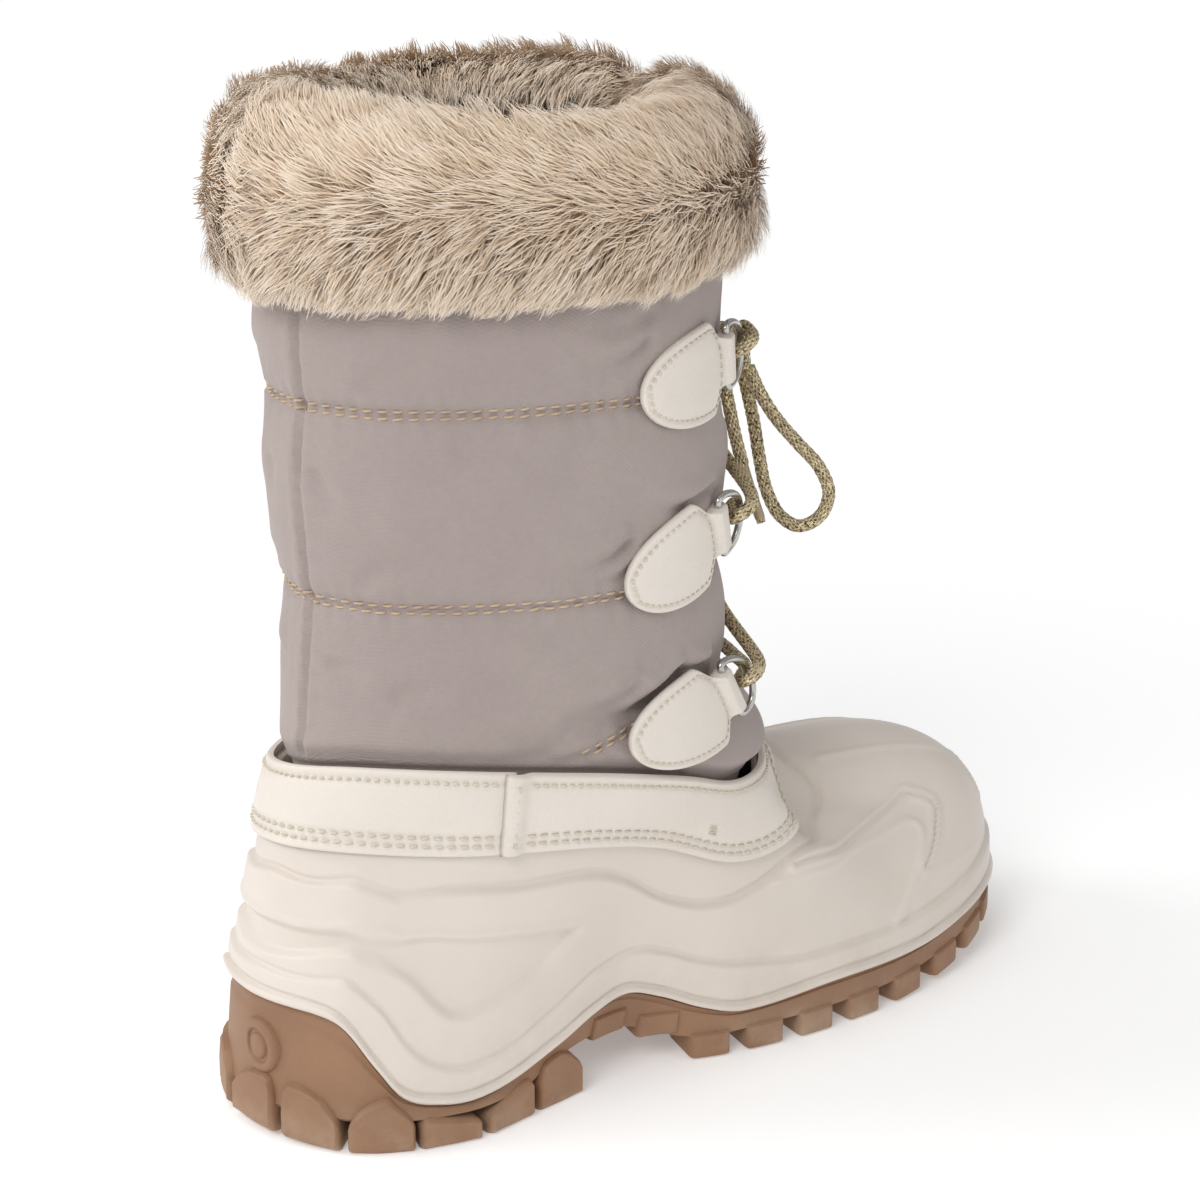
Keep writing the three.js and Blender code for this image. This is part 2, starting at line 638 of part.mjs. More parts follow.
// A point of a tab: back along it from the folded end, up across it and out from the leg.
function tabPoint(tab, side, back, up, out) {
  const c = Math.cos(radians(tab.tilt));
  const s = Math.sin(radians(tab.tilt));
  const angle = side.turn * (tab.front + (back * c + up * s) / perDegree);
  const z = tab.z + up * c - (back - tabSize.length / 2) * s;
  const reach = tabSize.height / 2;
  const bed = fullest(side.turn * (tab.front + tabSize.length / 2 / perDegree), tab.z, reach);
  const low = legPoint(angle, tab.z - reach, bed + gap + 0.6 + out);
  const high = legPoint(angle, tab.z + reach, bed + gap + 0.6 + out);
  return low.lerp(high, (z - tab.z + reach) / (2 * reach));
}

function tabHalfHeight(back) {
  const hemEnd = hemLength + 8;
  if (back < hemEnd) {
    const t = clamp((back - hemLength) / (hemEnd - hemLength), 0, 1);
    return lerp(tabSize.hem, tabSize.height, t * t * (3 - 2 * t)) / 2;
  }
  const t = (back - hemEnd) / (tabSize.length - hemEnd);
  return Math.max(tabSize.height / 2 * Math.sqrt(1 - t ** 2.4), 3);
}

function makeTab(tab, side) {
  const stops = [0, hemLength, hemLength + 1.5, 10, 14, 21, 28, 34, 39, tabSize.length];
  const rows = stops.map((back) => {
    const half = tabHalfHeight(back);
    const thickness = back <= hemLength ? hemThickness : tabSize.thickness;
    const across = [-1, -0.33, 0.33, 1];
    return [
      ...across.map((v) => tabPoint(tab, side, back, v * half, thickness)),
      ...across.reverse().map((v) => tabPoint(tab, side, back, v * half, 0)),
    ];
  });
  const bar = [-14, 14].map((up) => tabPoint(tab, side, hemLength / 2, up, hemThickness / 2));
  const tunnel = cordAlong(bar, ringWire + 0.8, 1, 8);
  return geometryOf(solidOf(skinRows(rows, false)).subtract(solidOf(tunnel)));
}

// The wire of a D-ring: its bar lies in the tab's fold, its bow stands forward and clear of the lace.
const ringHalf = 9.2;            // half the length of the bar, to the wire's centre
const ringReach = 10;            // from the bar to the bow's front
const bowOut = 5.8;              // how far the bow stands out, to the wire's centre

function makeRing(tab, side) {
  const barAt = [-ringHalf, -ringHalf * 0.6, 0, ringHalf * 0.6, ringHalf].map((up) => [0, up, hemThickness / 2]);
  const bowAt = [60, 30, 0, -30, -60].map((a) => {
    const forward = ringReach * Math.cos(radians(a)) ** 0.7;
    return [forward, ringHalf * Math.sin(radians(a)) * 1.04, lerp(hemThickness / 2, bowOut, forward / ringReach)];
  });
  const route = [...barAt, [2.6, ringHalf * 1.06, 3.3], ...bowAt, [2.6, -ringHalf * 1.06, 3.3]];
  const points = route.map(([forward, up, out]) => tabPoint(tab, side, hemLength / 2 - forward, up, out));
  const curve = new THREE.CatmullRomCurve3(points, true, 'centripetal');
  const steps = 16;
  const rows = Array.from({ length: steps }, (_, i) => {
    const t = i / steps;
    const ahead = curve.getTangent(t);
    const across = legPoint(0, tab.z, 1).sub(legPoint(0, tab.z, 0)).cross(ahead).normalize();
    const up = ahead.clone().cross(across);
    return Array.from({ length: 6 }, (__, j) => {
      const a = j * Math.PI / 3;
      return curve.getPoint(t).addScaledVector(across, Math.cos(a) * ringWire / 2)
        .addScaledVector(up, Math.sin(a) * ringWire / 2);
    });
  });
  return skinRows(rows, true);
}

for (const side of sides) {
  tabs.forEach((tab, i) => {
    addPiece(`lace_tab_${side.word}_${i + 1}`, makeTab(tab, side), 'leather');
    addPiece(`d_ring_${side.word}_${i + 1}`, makeRing(tab, side), 'steel');
  });
}

// ---------------------------------------------------------------- laces
const laceClear = laceDiameter / 2 + 0.7;

// The lace over the leg at an angle and height, clear of the rolls.
const laceOver = (angle, z) => legPoint(angle, z, fullest(angle, z, 6) + laceClear + 0.6);

// The height of the rings on a level of tabs, which hang with the tabs' tilt.
const ringHeight = (tab) => tab.z + (tabSize.length / 2 + 7) * Math.sin(radians(tab.tilt));

// The lace turns back just short of a ring's bow.
function laceTurn(tab, side) {
  const front = hemLength / 2 - ringReach - ringWire / 2 - laceDiameter / 2;
  return [[-6, -2.5], [-0.8, 0], [-6, 2.5]].map(([back, up]) => tabPoint(tab, side, front + back, up, bowOut - 1));
}

// From one side's ring across the front to the other side's ring on the next level.
function laceAcross(from, low, high) {
  return [0.14, 0.32, 0.5, 0.68, 0.86].map((t) => laceOver(
    from.turn * lerp(40, -40, t),
    lerp(ringHeight(low) + 2, ringHeight(high) - 2, t),
  ));
}

const knot = { x: 25, y: -14.5, z: 216, depth: 11, width: 12, height: 16 };

// Half of the lace: from the middle of the lowest bar, out to one side and up to the knot.
function laceHalf(first) {
  const second = sides[1 - sides.indexOf(first)];
  const start = [0, 13, 27].map((angle) => laceOver(first.turn * angle, ringHeight(tabs[0]) - 3));
  return [
    ...start,
    ...laceTurn(tabs[0], first),
    ...laceAcross(first, tabs[0], tabs[1]),
    ...laceTurn(tabs[1], second),
    ...laceAcross(second, tabs[1], tabs[2]),
    ...laceTurn(tabs[2], first),
    vec(knot.x - 3, knot.y + first.turn * (knot.width / 2 + 2.6), knot.z + 2),
  ];
}
addPiece('lace_crossings', geometryOf(joined(
  sides.map((side) => cordAlong(laceHalf(side), laceDiameter, 34)),
)), 'cord');

const knotForm = new THREE.SphereGeometry(0.5, 12, 8);
knotForm.scale(knot.depth, knot.width, knot.height);
knotForm.translate(knot.x, knot.y, knot.z);
addPiece('lace_knot', knotForm, 'cord');

// The bow's loops and ends, from the knot. The inner ones hang on the far side of the opening.
const bow = {
  lace_loop_outer: [
    vec(30.5, -20.5, 210), vec(33.5, -22.5, 202), vec(37.5, -25.5, 194), vec(43, -29.5, 186),
    vec(48.5, -34, 178), vec(51, -36, 169.5), vec(49, -34, 162), vec(44, -30, 159), vec(39.5, -26, 162.5),
    vec(37.5, -22, 170), vec(37, -19, 180), vec(36, -17, 192), vec(34, -15.5, 203), vec(32.6, -14.5, 210),
  ],
  lace_end_outer: [
    vec(25, -15.5, 205.2), vec(26.3, -16, 199), vec(28.1, -17.5, 188), vec(30, -20.5, 176),
    vec(32.8, -25, 161),
  ],
  lace_loop_inner: [
    vec(27, -5.6, 216), vec(30.5, 2, 208), vec(36, 14, 196), vec(41, 24, 184), vec(44, 30, 174),
    vec(44, 30.5, 166), vec(41, 26, 160), vec(36, 18, 158.5), vec(33, 11, 163), vec(31, 6, 173),
    vec(29.5, 1.5, 186), vec(28.5, -3, 198), vec(27.5, -6.5, 207),
  ],
  lace_end_inner: [
    vec(22, -10, 206), vec(21.5, -4, 198), vec(21.5, 2, 187), vec(21.5, 5, 176), vec(21.5, 6, 164),
  ],
};
for (const [name, points] of Object.entries(bow)) {
  addPiece(name, cordAlong(points, laceDiameter, name.includes('loop') ? 20 : 8), 'cord');
}

export default boot;
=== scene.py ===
# A snow boot for the right foot, standing empty. Metres in the scene; the form functions work in millimetres.
# +X runs to the toe, +Y to the inner side of the foot, +Z up.
import math

import bpy
import numpy as np
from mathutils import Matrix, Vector
from mathutils.kdtree import KDTree


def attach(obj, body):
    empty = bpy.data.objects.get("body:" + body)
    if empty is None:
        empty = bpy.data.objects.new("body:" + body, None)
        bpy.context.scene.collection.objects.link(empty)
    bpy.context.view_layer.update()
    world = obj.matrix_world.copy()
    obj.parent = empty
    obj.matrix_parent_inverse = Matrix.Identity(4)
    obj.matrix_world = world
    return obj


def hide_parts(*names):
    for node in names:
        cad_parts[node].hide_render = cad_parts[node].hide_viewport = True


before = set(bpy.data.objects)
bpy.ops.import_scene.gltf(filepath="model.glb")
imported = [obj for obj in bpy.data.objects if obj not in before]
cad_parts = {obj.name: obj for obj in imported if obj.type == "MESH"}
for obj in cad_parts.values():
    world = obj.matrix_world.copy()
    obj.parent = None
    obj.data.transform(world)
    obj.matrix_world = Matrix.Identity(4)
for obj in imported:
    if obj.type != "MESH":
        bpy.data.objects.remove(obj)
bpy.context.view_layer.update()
rng = np.random.default_rng(20)

boot = {
    "footWall": 2.6,
    "shaftWall": 7.0,
    "shaftTop": 261.0,
    "legEgg": 0.18,
    "throatHalf": 15.0,
    "toeSpring": 13.0,
    "springStart": 52.0,
}

# From the heel back by the outer side to the toe and home by the inner side: the outline at the sole's rim,
# the place on the ankle edge, the height and squareness of the arch, and the width of the ankle band.
stationRows = [
    # footX, footY, angle, topZ, crown, box, band
    (-140.5, 1, 180, 111, 111, 1.1, 24),
    (-128.5, -29, 206, 114, 114, 1.15, 25),
    (-101, -42.5, 234, 113, 113, 1.2, 25.5),
    (-68, -43.5, 261, 108.5, 108.5, 1.2, 24.5),
    (-36, -43.5, 283, 101, 101, 1.25, 25),
    (-2, -51, 301, 92, 92, 1.3, 27),
    (33, -56.5, 316, 89, 82, 1.4, 26.5),
    (71, -55.5, 329, 89, 64, 1.8, 25),
    (108.5, -46.5, 340, 90, 62, 2.6, 20),
    (133.5, -29.5, 350, 90.5, 72, 3.2, 18),
    (142.5, -3, 360, 90.5, 75.5, 3.4, 17),
    (133, 23, 370, 90.5, 72, 3.2, 18),
    (110, 42, 380, 90, 62, 2.6, 20),
    (76, 51, 391, 89, 64, 1.8, 25),
    (38, 50.5, 404, 88, 81, 1.4, 26.5),
    (0, 44, 419, 90, 90, 1.3, 27),
    (-34, 39, 437, 96, 96, 1.25, 25),
    (-67, 41, 459, 101, 101, 1.1, 24.5),
    (-100, 43.5, 486, 104, 104, 1.12, 24.5),
    (-128.5, 32, 514, 107, 107, 1.12, 24),
]
stations = {key: np.array(column, float) for key, column in zip(
    ("footX", "footY", "angle", "topZ", "crown", "box", "band"), zip(*stationRows))}

# Height of the sole's rim along the foot.
rimLine = {
    "x": [-142, -131, -124, -117, -106, -96, -83, -66, -52, -39, -26, -12, 2, 34, 77, 100, 121, 141],
    "z": [43, 40, 27, 16, 12, 11.5, 14, 20, 26, 29, 25, 18.5, 14.5, 16.5, 16.5, 19, 22, 26],
}

# Sections of the leg: middle, half length and half width at each height.
legSections = {
    "z": [80, 98, 113, 126, 145, 165, 190, 218, 240, 300],
    "middle": [-44.5, -46, -50, -52.5, -53.5, -54.5, -55.5, -57, -58, -58.5],
    "length": [79, 78, 73.5, 68.5, 66, 66, 66, 66.5, 66, 65.5],
    "width": [52, 53, 54, 54.5, 56.5, 58, 59.5, 60.5, 61.5, 61.5],
}

# Quilted rolls between the stitch rows.
rolls = [
    {"low": 76, "high": 124, "swell": 2.0, "frontSwell": 4.5},
    {"low": 124, "high": 161, "swell": 2.0, "frontSwell": 1.5},
    {"low": 161, "high": 218, "swell": 2.5, "frontSwell": 0.5},
    {"low": 218, "high": 266, "swell": 2.0, "frontSwell": 0.5},
]


def along(xs, ys, at):
    # A smooth curve through a table, flat past its ends.
    xs, ys = np.asarray(xs, float), np.asarray(ys, float)
    at = np.asarray(at, float)
    slope = np.empty_like(ys)
    slope[1:-1] = (ys[2:] - ys[:-2]) / (xs[2:] - xs[:-2])
    slope[0] = (ys[1] - ys[0]) / (xs[1] - xs[0])
    slope[-1] = (ys[-1] - ys[-2]) / (xs[-1] - xs[-2])
    i = np.clip(np.searchsorted(xs, at, side="right") - 1, 0, len(xs) - 2)
    span = xs[i + 1] - xs[i]
    t = np.clip((at - xs[i]) / span, 0, 1)
    step = t * t * (3 - 2 * t)
    return ys[i] + (ys[i + 1] - ys[i]) * step + span * t * (1 - t) * ((1 - t) * slope[i] - t * slope[i + 1])


def around(key, turn):
    # A smooth value round the foot: turn 0 is the heel back, 0.5 the toe, 1 the heel back again.
    values = stations[key]
    n = len(values)
    place = np.asarray(turn, float) % 1 * n
    i = np.floor(place).astype(int)
    t = place - i

    def pick(j):
        return values[j % n] + (360 * np.floor_divide(j, n) if key == "angle" else 0)

    a, b, c, d = pick(i - 1), pick(i), pick(i + 1), pick(i + 2)
    return b + 0.5 * t * (c - a + t * (2 * a - 5 * b + 4 * c - d + t * (3 * (b - c) + d - a)))


def smooth(low, high, value):
    t = np.clip((np.asarray(value, float) - low) / (high - low), 0, 1)
    return t * t * (3 - 2 * t)


def dome(share):
    # A quarter round: 1 at no share of the way out, 0 at all of it.
    return np.sqrt(np.clip(1 - np.clip(share, 0, 1) ** 2, 0, 1))


def ridge(distance, width):
    # A soft bump across a line: 1 on it, 0 a width away.
    return np.exp(-(np.asarray(distance) / width) ** 2)


def unit(v):
    return v / np.maximum(np.linalg.norm(v, axis=-1, keepdims=True), 1e-9)


def runLength(line):
    # The length along a line at each of its points.
    return np.concatenate([[0], np.cumsum(np.linalg.norm(np.diff(line, axis=0), axis=1))])


def columnsAt(at, run, values):
    # Three columns of values, each read at some lengths along.
    return np.stack([np.interp(at, run, values[:, k]) for k in range(3)], axis=-1)


def legPoint(angle, z, out=0.0):
    angle, z, out = np.broadcast_arrays(*[np.asarray(v, float) for v in (angle, z, out)])
    t = np.radians(angle)
    middle, length, width = (along(legSections["z"], legSections[k], z) for k in ("middle", "length", "width"))
    egg = boot["legEgg"]
    x = middle + length * np.cos(t)
    y = width * np.sin(t) * (1 + egg * np.cos(t))
    tx, ty = -length * np.sin(t), width * (np.cos(t) + egg * np.cos(2 * t))
    size = np.hypot(tx, ty)
    return np.stack([x + ty / size * out, y - tx / size * out, z], axis=-1)


def swellAt(angle, z):
    front = 0.5 + 0.5 * np.cos(np.radians(angle))
    total = np.zeros(np.broadcast(angle, z).shape)
    for roll in rolls:
        t = np.clip((z - roll["low"]) / (roll["high"] - roll["low"]), 0, 1)
        total = total + (roll["swell"] + roll["frontSwell"] * front ** 2) * np.sin(np.pi * t) ** 0.7
    return total


def footPoint(turn, rise):
    turn, rise = np.broadcast_arrays(np.asarray(turn, float), np.asarray(rise, float))
    footX, footY = around("footX", turn), around("footY", turn)
    rimZ = along(rimLine["x"], rimLine["z"], footX) + 0.25
    topZ, crown, box = around("topZ", turn), around("crown", turn), around("box", turn)
    top = legPoint(around("angle", turn), topZ, boot["footWall"] + 0.7)
    across = np.maximum(np.cos(rise * np.pi / 2), 0)
    up = np.sin(rise * np.pi / 2)
    reach = (across ** box + up ** box) ** (-1 / box)
    inward, upward = 1 - across * reach, up * reach
    z = rimZ + (crown - rimZ) * upward + (topZ - crown) * inward ** 9
    return np.stack([footX + (top[..., 0] - footX) * inward, footY + (top[..., 1] - footY) * inward, z], axis=-1)


def footNormal(turn, rise):
    step = 0.003
    low, high = np.clip(rise - step, 0.002, 0.998), np.clip(rise + step, 0.002, 0.998)
    middle = np.clip(rise, 0.002, 0.998)
    up = footPoint(turn, high) - footPoint(turn, low)
    side = footPoint(turn + step, middle) - footPoint(turn - step, middle)
    return unit(np.cross(side, up))


def footSkin(turn, rise, out):
    return footPoint(turn, rise) + footNormal(turn, rise) * np.asarray(out, float)[..., None]


def outlinePoint(turn, out=0.0, z=0.0):
    turn, out, z = np.broadcast_arrays(*[np.asarray(v, float) for v in (turn, out, z)])
    x, y = around("footX", turn), around("footY", turn)
    sx, sy = around("footX", turn + 0.004) - x, around("footY", turn + 0.004) - y
    size = np.hypot(sx, sy)
    return np.stack([x + sy / size * out, y - sx / size * out, z], axis=-1)


girthTurns = np.linspace(0, 1, 721)
girthLine = outlinePoint(girthTurns)
girth = runLength(girthLine)


plate = {"heel": 9.5, "forefoot": 7.5, "arch": 15}
footbed = {"heel": 34, "arch": 27, "ball": 20, "toe": 33}


def rimZ(x):
    return along(rimLine["x"], rimLine["z"], x)


def springZ(x):
    return boot["toeSpring"] * np.clip((x - boot["springStart"]) / (142.5 - boot["springStart"]), 0, 1.1) ** 2


def plateZ(x):
    heights = (plate["heel"], plate["heel"], plate["arch"], plate["arch"], plate["forefoot"], plate["forefoot"])
    return along((-142, -78, -62, -38, -15, 10), heights, np.minimum(x, 10)) + springZ(x)


def footbedZ(x):
    heel, ball = footbed["heel"], footbed["ball"]
    heights = (heel, heel, footbed["arch"], ball, ball + 1.5, footbed["toe"])
    return along((-142, -85, -35, 25, 75, 142), heights, x)


def soleFlare(x):
    return 1 + 2.6 * np.clip((-70 - x) / 25, 0, 1) - 5 * np.exp(-(((x + 34) / 22) ** 2))


# Camera, light and floor come before the pieces.
view = {"azimuth": -39.3, "elevation": 16.8, "distance": 0.92, "lookAt": (-0.015, -0.004, 0.14), "lens": 89.3}


studio = {
    "sky": 0.37, "floorNear": 0.16, "floorFar": 0.6, "floorGlow": 0.25,
    "lights": {
        "keyLeft": ((-1.7, -0.9, 1.5), 1.1, 20.5),
        "backLeft": ((-1.4, 1.1, 1.1), 1.0, 12),
        "fillFront": ((0.6, -1.9, 0.9), 1.6, 5),
        "top": ((-0.5, 0.2, 2.1), 1.6, 9),
    },
}


def aimed(obj, at):
    obj.rotation_euler = (Vector(at) - obj.location).to_track_quat("-Z", "Y").to_euler()


def addCamera():
    az, el = math.radians(view["azimuth"]), math.radians(view["elevation"])
    back = Vector((math.sin(az) * math.cos(el), -math.cos(az) * math.cos(el), math.sin(el)))
    data = bpy.data.cameras.new("camera")
    data.lens, data.sensor_width, data.clip_start, data.clip_end = view["lens"], 36, 0.05, 50
    camera = bpy.data.objects.new("camera", data)
    bpy.context.scene.collection.objects.link(camera)
    camera.location = Vector(view["lookAt"]) + back * view["distance"]
    aimed(camera, view["lookAt"])
    bpy.context.scene.camera = camera


def addLight(name, place, size, power, tone=(1, 1, 1)):
    data = bpy.data.lights.new(name, "AREA")
    data.shape, data.size, data.energy, data.color = "DISK", size, power, tone
    light = bpy.data.objects.new(name, data)
    bpy.context.scene.collection.objects.link(light)
    light.location = place
    aimed(light, (0, 0, 0.12))


def addStudio():
    scene = bpy.context.scene
    scene.view_settings.view_transform = "Standard"
    world = bpy.data.worlds.new("studio")
    world.use_nodes = True
    tree = world.node_tree
    sky = tree.nodes["Background"]
    sky.inputs["Color"].default_value = (1, 1, 1, 1)
    seen, strength = tree.nodes.new("ShaderNodeLightPath"), tree.nodes.new("ShaderNodeMapRange")
    strength.inputs["To Min"].default_value, strength.inputs["To Max"].default_value = studio["sky"], 1.0
    tree.links.new(seen.outputs["Is Camera Ray"], strength.inputs["Value"])
    tree.links.new(strength.outputs["Result"], sky.inputs["Strength"])
    scene.world = world
    for name, (place, size, power) in studio["lights"].items():
        addLight(name, place, size, power)
    mesh = bpy.data.meshes.new("floor")
    reach = 6
    corners = [(-reach, -reach, 0), (reach, -reach, 0), (reach, reach, 0), (-reach, reach, 0)]
    mesh.from_pydata(corners, [], [(0, 1, 2, 3)])
    floor = bpy.data.objects.new("floor", mesh)
    scene.collection.objects.link(floor)
    # Pale paper that brightens away from the boot: painted light, a glow that makes up for the lamps' light falling off
    # far out.
    paper = bpy.data.materials.new("glowingFloorPaper")
    paper.use_nodes = True
    tree = paper.node_tree
    shader = tree.nodes["Principled BSDF"]
    shader.inputs["Roughness"].default_value = 0.9
    shader.inputs["Specular IOR Level"].default_value = 0.1
    shader.inputs["Emission Strength"].default_value = 1.0
    spot, reachOut, ramp = (tree.nodes.new("ShaderNode" + kind) for kind in ("TexCoord", "VectorMath", "MapRange"))
    reachOut.operation = "LENGTH"
    tree.links.new(spot.outputs["Object"], reachOut.inputs[0])
    tree.links.new(reachOut.outputs["Value"], ramp.inputs["Value"])
    ramp.interpolation_type = "SMOOTHSTEP"
    ramp.inputs["From Min"].default_value = studio["floorNear"]
    ramp.inputs["From Max"].default_value = studio["floorFar"]
    for socket, near, far in (("Base Color", 0.92, 0.0), ("Emission Color", studio["floorGlow"], 1.0)):
        mix = tree.nodes.new("ShaderNodeMix")
        mix.data_type = "RGBA"
        mix.inputs[6].default_value, mix.inputs[7].default_value = (near, near, near, 1), (far, far, far, 1)
        tree.links.new(ramp.outputs["Result"], mix.inputs[0])
        tree.links.new(mix.outputs[2], shader.inputs[socket])
    mesh.materials.append(paper)


addCamera()
addStudio()
print("stage set")


# Shared effects for the materials, each a group built once.
def newGroup(name, values, outs):
    group = bpy.data.node_groups.new(name, "ShaderNodeTree")
    for label, kind, value in values:
        socket = group.interface.new_socket(name=label, in_out="INPUT", socket_type=kind)
        socket.default_value = value
    for label, kind in outs:
        group.interface.new_socket(name=label, in_out="OUTPUT", socket_type=kind)
    start, end = group.nodes.new("NodeGroupInput"), group.nodes.new("NodeGroupOutput")
    place = group.nodes.new("ShaderNodeTexCoord").outputs["Object"]
    return group, start, end, place


number, colour = "NodeSocketFloat", "NodeSocketColor"


def calc(tree, how, a, b=None, clamp=False):
    node = tree.nodes.new("ShaderNodeMath")
    node.operation, node.use_clamp = how, clamp
    for socket, value in zip(node.inputs, (a, b)):
        if isinstance(value, bpy.types.NodeSocket):
            tree.links.new(value, socket)
        elif value is not None:
            socket.default_value = value
    return node.outputs[0]


def noise(tree, place, scale, detail=3.0, rough=0.55):
    node = tree.nodes.new("ShaderNodeTexNoise")
    node.inputs["Detail"].default_value, node.inputs["Roughness"].default_value = detail, rough
    tree.links.new(place, node.inputs["Vector"])
    if isinstance(scale, bpy.types.NodeSocket):
        tree.links.new(scale, node.inputs["Scale"])
    else:
        node.inputs["Scale"].default_value = scale
    return node.outputs["Fac"]


def blendColours(tree, how, amount, a, b):
    node = tree.nodes.new("ShaderNodeMix")
    node.data_type, node.blend_type, node.clamp_factor = "RGBA", how, True
    for socket, value in ((node.inputs[0], amount), (node.inputs[6], a), (node.inputs[7], b)):
        if isinstance(value, bpy.types.NodeSocket):
            tree.links.new(value, socket)
        else:
            socket.default_value = value
    return node.outputs[2]


def buildMottle():
    # Slow and fine changes of tone between a colour and its shade.
    group, start, end, place = newGroup("mottle", (
        ("Colour", colour, (1, 1, 1, 1)), ("Shade", colour, (0.5, 0.5, 0.5, 1)), ("Scale", number, 30.0),
        ("Amount", number, 0.5), ("Speckle", number, 0.1)), (("Colour", colour), ("Mask", number)))
    slow = noise(group, place, start.outputs["Scale"], 4)
    fast = noise(group, place, calc(group, "MULTIPLY", start.outputs["Scale"], 34), 2)
    slowMask = calc(group, "MULTIPLY", calc(group, "SUBTRACT", slow, 0.36, True), 3.2, True)
    mask = calc(group, "MULTIPLY", slowMask, start.outputs["Amount"])
    speck = calc(group, "MULTIPLY", calc(group, "SUBTRACT", fast, 0.5), start.outputs["Speckle"])
    total = calc(group, "ADD", mask, calc(group, "MULTIPLY", speck, 4), True)
    out = blendColours(group, "MIX", total, start.outputs["Colour"], start.outputs["Shade"])
    group.links.new(out, end.inputs["Colour"])
    group.links.new(total, end.inputs["Mask"])
    return group


def buildGrain():
    # Pebbled hide or moulded skin: small cells with fine noise over them.
    group, start, end, place = newGroup("grain", (
        ("Scale", number, 900.0), ("Cells", number, 0.5), ("Fine", number, 0.3)),
        (("Height", number), ("Hollows", number)))
    cells = group.nodes.new("ShaderNodeTexVoronoi")
    cells.feature = "F1"
    group.links.new(place, cells.inputs["Vector"])
    group.links.new(start.outputs["Scale"], cells.inputs["Scale"])
    pebbles = calc(group, "SUBTRACT", 1.0, cells.outputs["Distance"], True)
    fine = noise(group, place, calc(group, "MULTIPLY", start.outputs["Scale"], 2.6), 3)
    height = calc(group, "ADD", calc(group, "MULTIPLY", pebbles, start.outputs["Cells"]),
                  calc(group, "MULTIPLY", fine, start.outputs["Fine"]))
    group.links.new(height, end.inputs["Height"])
    group.links.new(calc(group, "SUBTRACT", 1.0, pebbles, True), end.inputs["Hollows"])
    return group


def buildWeave():
    # Fine threads crossing: upright ones by the height, level ones by the place along and across.
    group, start, end, place = newGroup("weave", (("Threads", number, 2600.0), ("Fuzz", number, 0.4)),
                                        (("Height", number), ("Tone", number)))
    parts = group.nodes.new("ShaderNodeSeparateXYZ")
    group.links.new(place, parts.inputs[0])
    side = calc(group, "ADD", parts.outputs["X"], calc(group, "MULTIPLY", parts.outputs["Y"], 0.83))
    level = calc(group, "SINE", calc(group, "MULTIPLY", parts.outputs["Z"], start.outputs["Threads"]))
    upright = calc(group, "SINE", calc(group, "MULTIPLY", side, start.outputs["Threads"]))
    fuzz = noise(group, place, 2100.0, 4, 0.7)
    threads = calc(group, "MULTIPLY", level, upright)
    height = calc(group, "ADD", calc(group, "MULTIPLY", threads, 0.25),
                  calc(group, "MULTIPLY", fuzz, start.outputs["Fuzz"]))
    group.links.new(height, end.inputs["Height"])
    nap = noise(group, place, 420.0, 5, 0.75)
    group.links.new(nap, end.inputs["Tone"])
    return group


def buildDust():
    # Faint dirt that gathers low down, and scuffs where the surface meets the ground.
    group, start, end, place = newGroup("dust", (
        ("Colour", colour, (1, 1, 1, 1)), ("Dust", colour, (0.3, 0.25, 0.2, 1)), ("Low", number, 0.0),
        ("High", number, 0.05), ("Amount", number, 0.4)), (("Colour", colour), ("Mask", number)))
    parts = group.nodes.new("ShaderNodeSeparateXYZ")
    group.links.new(place, parts.inputs[0])
    span = calc(group, "SUBTRACT", start.outputs["High"], start.outputs["Low"])
    up = calc(group, "DIVIDE", calc(group, "SUBTRACT", parts.outputs["Z"], start.outputs["Low"]), span, True)
    low = calc(group, "SUBTRACT", 1.0, up, True)
    patches = noise(group, place, 45.0, 6, 0.65)
    patchy = calc(group, "MULTIPLY", calc(group, "SUBTRACT", patches, 0.42, True), 4, True)
    mask = calc(group, "MULTIPLY", calc(group, "MULTIPLY", low, patchy), start.outputs["Amount"], True)
    dusty = blendColours(group, "MIX", mask, start.outputs["Colour"], start.outputs["Dust"])
    group.links.new(dusty, end.inputs["Colour"])
    group.links.new(mask, end.inputs["Mask"])
    return group


groups = {"mottle": buildMottle(), "grain": buildGrain(), "weave": buildWeave(), "dust": buildDust()}


def useGroup(tree, name, **values):
    node = tree.nodes.new("ShaderNodeGroup")
    node.node_tree = groups[name]
    for label, value in values.items():
        if isinstance(value, bpy.types.NodeSocket):
            tree.links.new(value, node.inputs[label])
        else:
            node.inputs[label].default_value = value
    return node


def newMaterial(name, **constants):
    material = bpy.data.materials.new(name)
    material.use_nodes = True
    tree = material.node_tree
    shader = tree.nodes["Principled BSDF"]
    for label, value in constants.items():
        shader.inputs[label.replace("_", " ")].default_value = value
    return material, tree, shader


def addBump(tree, shader, height, depth, strength=1.0):
    bump = tree.nodes.new("ShaderNodeBump")
    bump.inputs["Strength"].default_value, bump.inputs["Distance"].default_value = strength, depth
    tree.links.new(height, bump.inputs["Height"])
    tree.links.new(bump.outputs["Normal"], shader.inputs["Normal"])


def toRange(tree, value, low, high):
    node = tree.nodes.new("ShaderNodeMapRange")
    node.inputs["To Min"].default_value, node.inputs["To Max"].default_value = low, high
    tree.links.new(value, node.inputs["Value"])
    return node.outputs["Result"]


def tone(red, green, blue):
    return tuple(((c / 255 + 0.055) / 1.055) ** 2.4 for c in (red, green, blue)) + (1.0,)


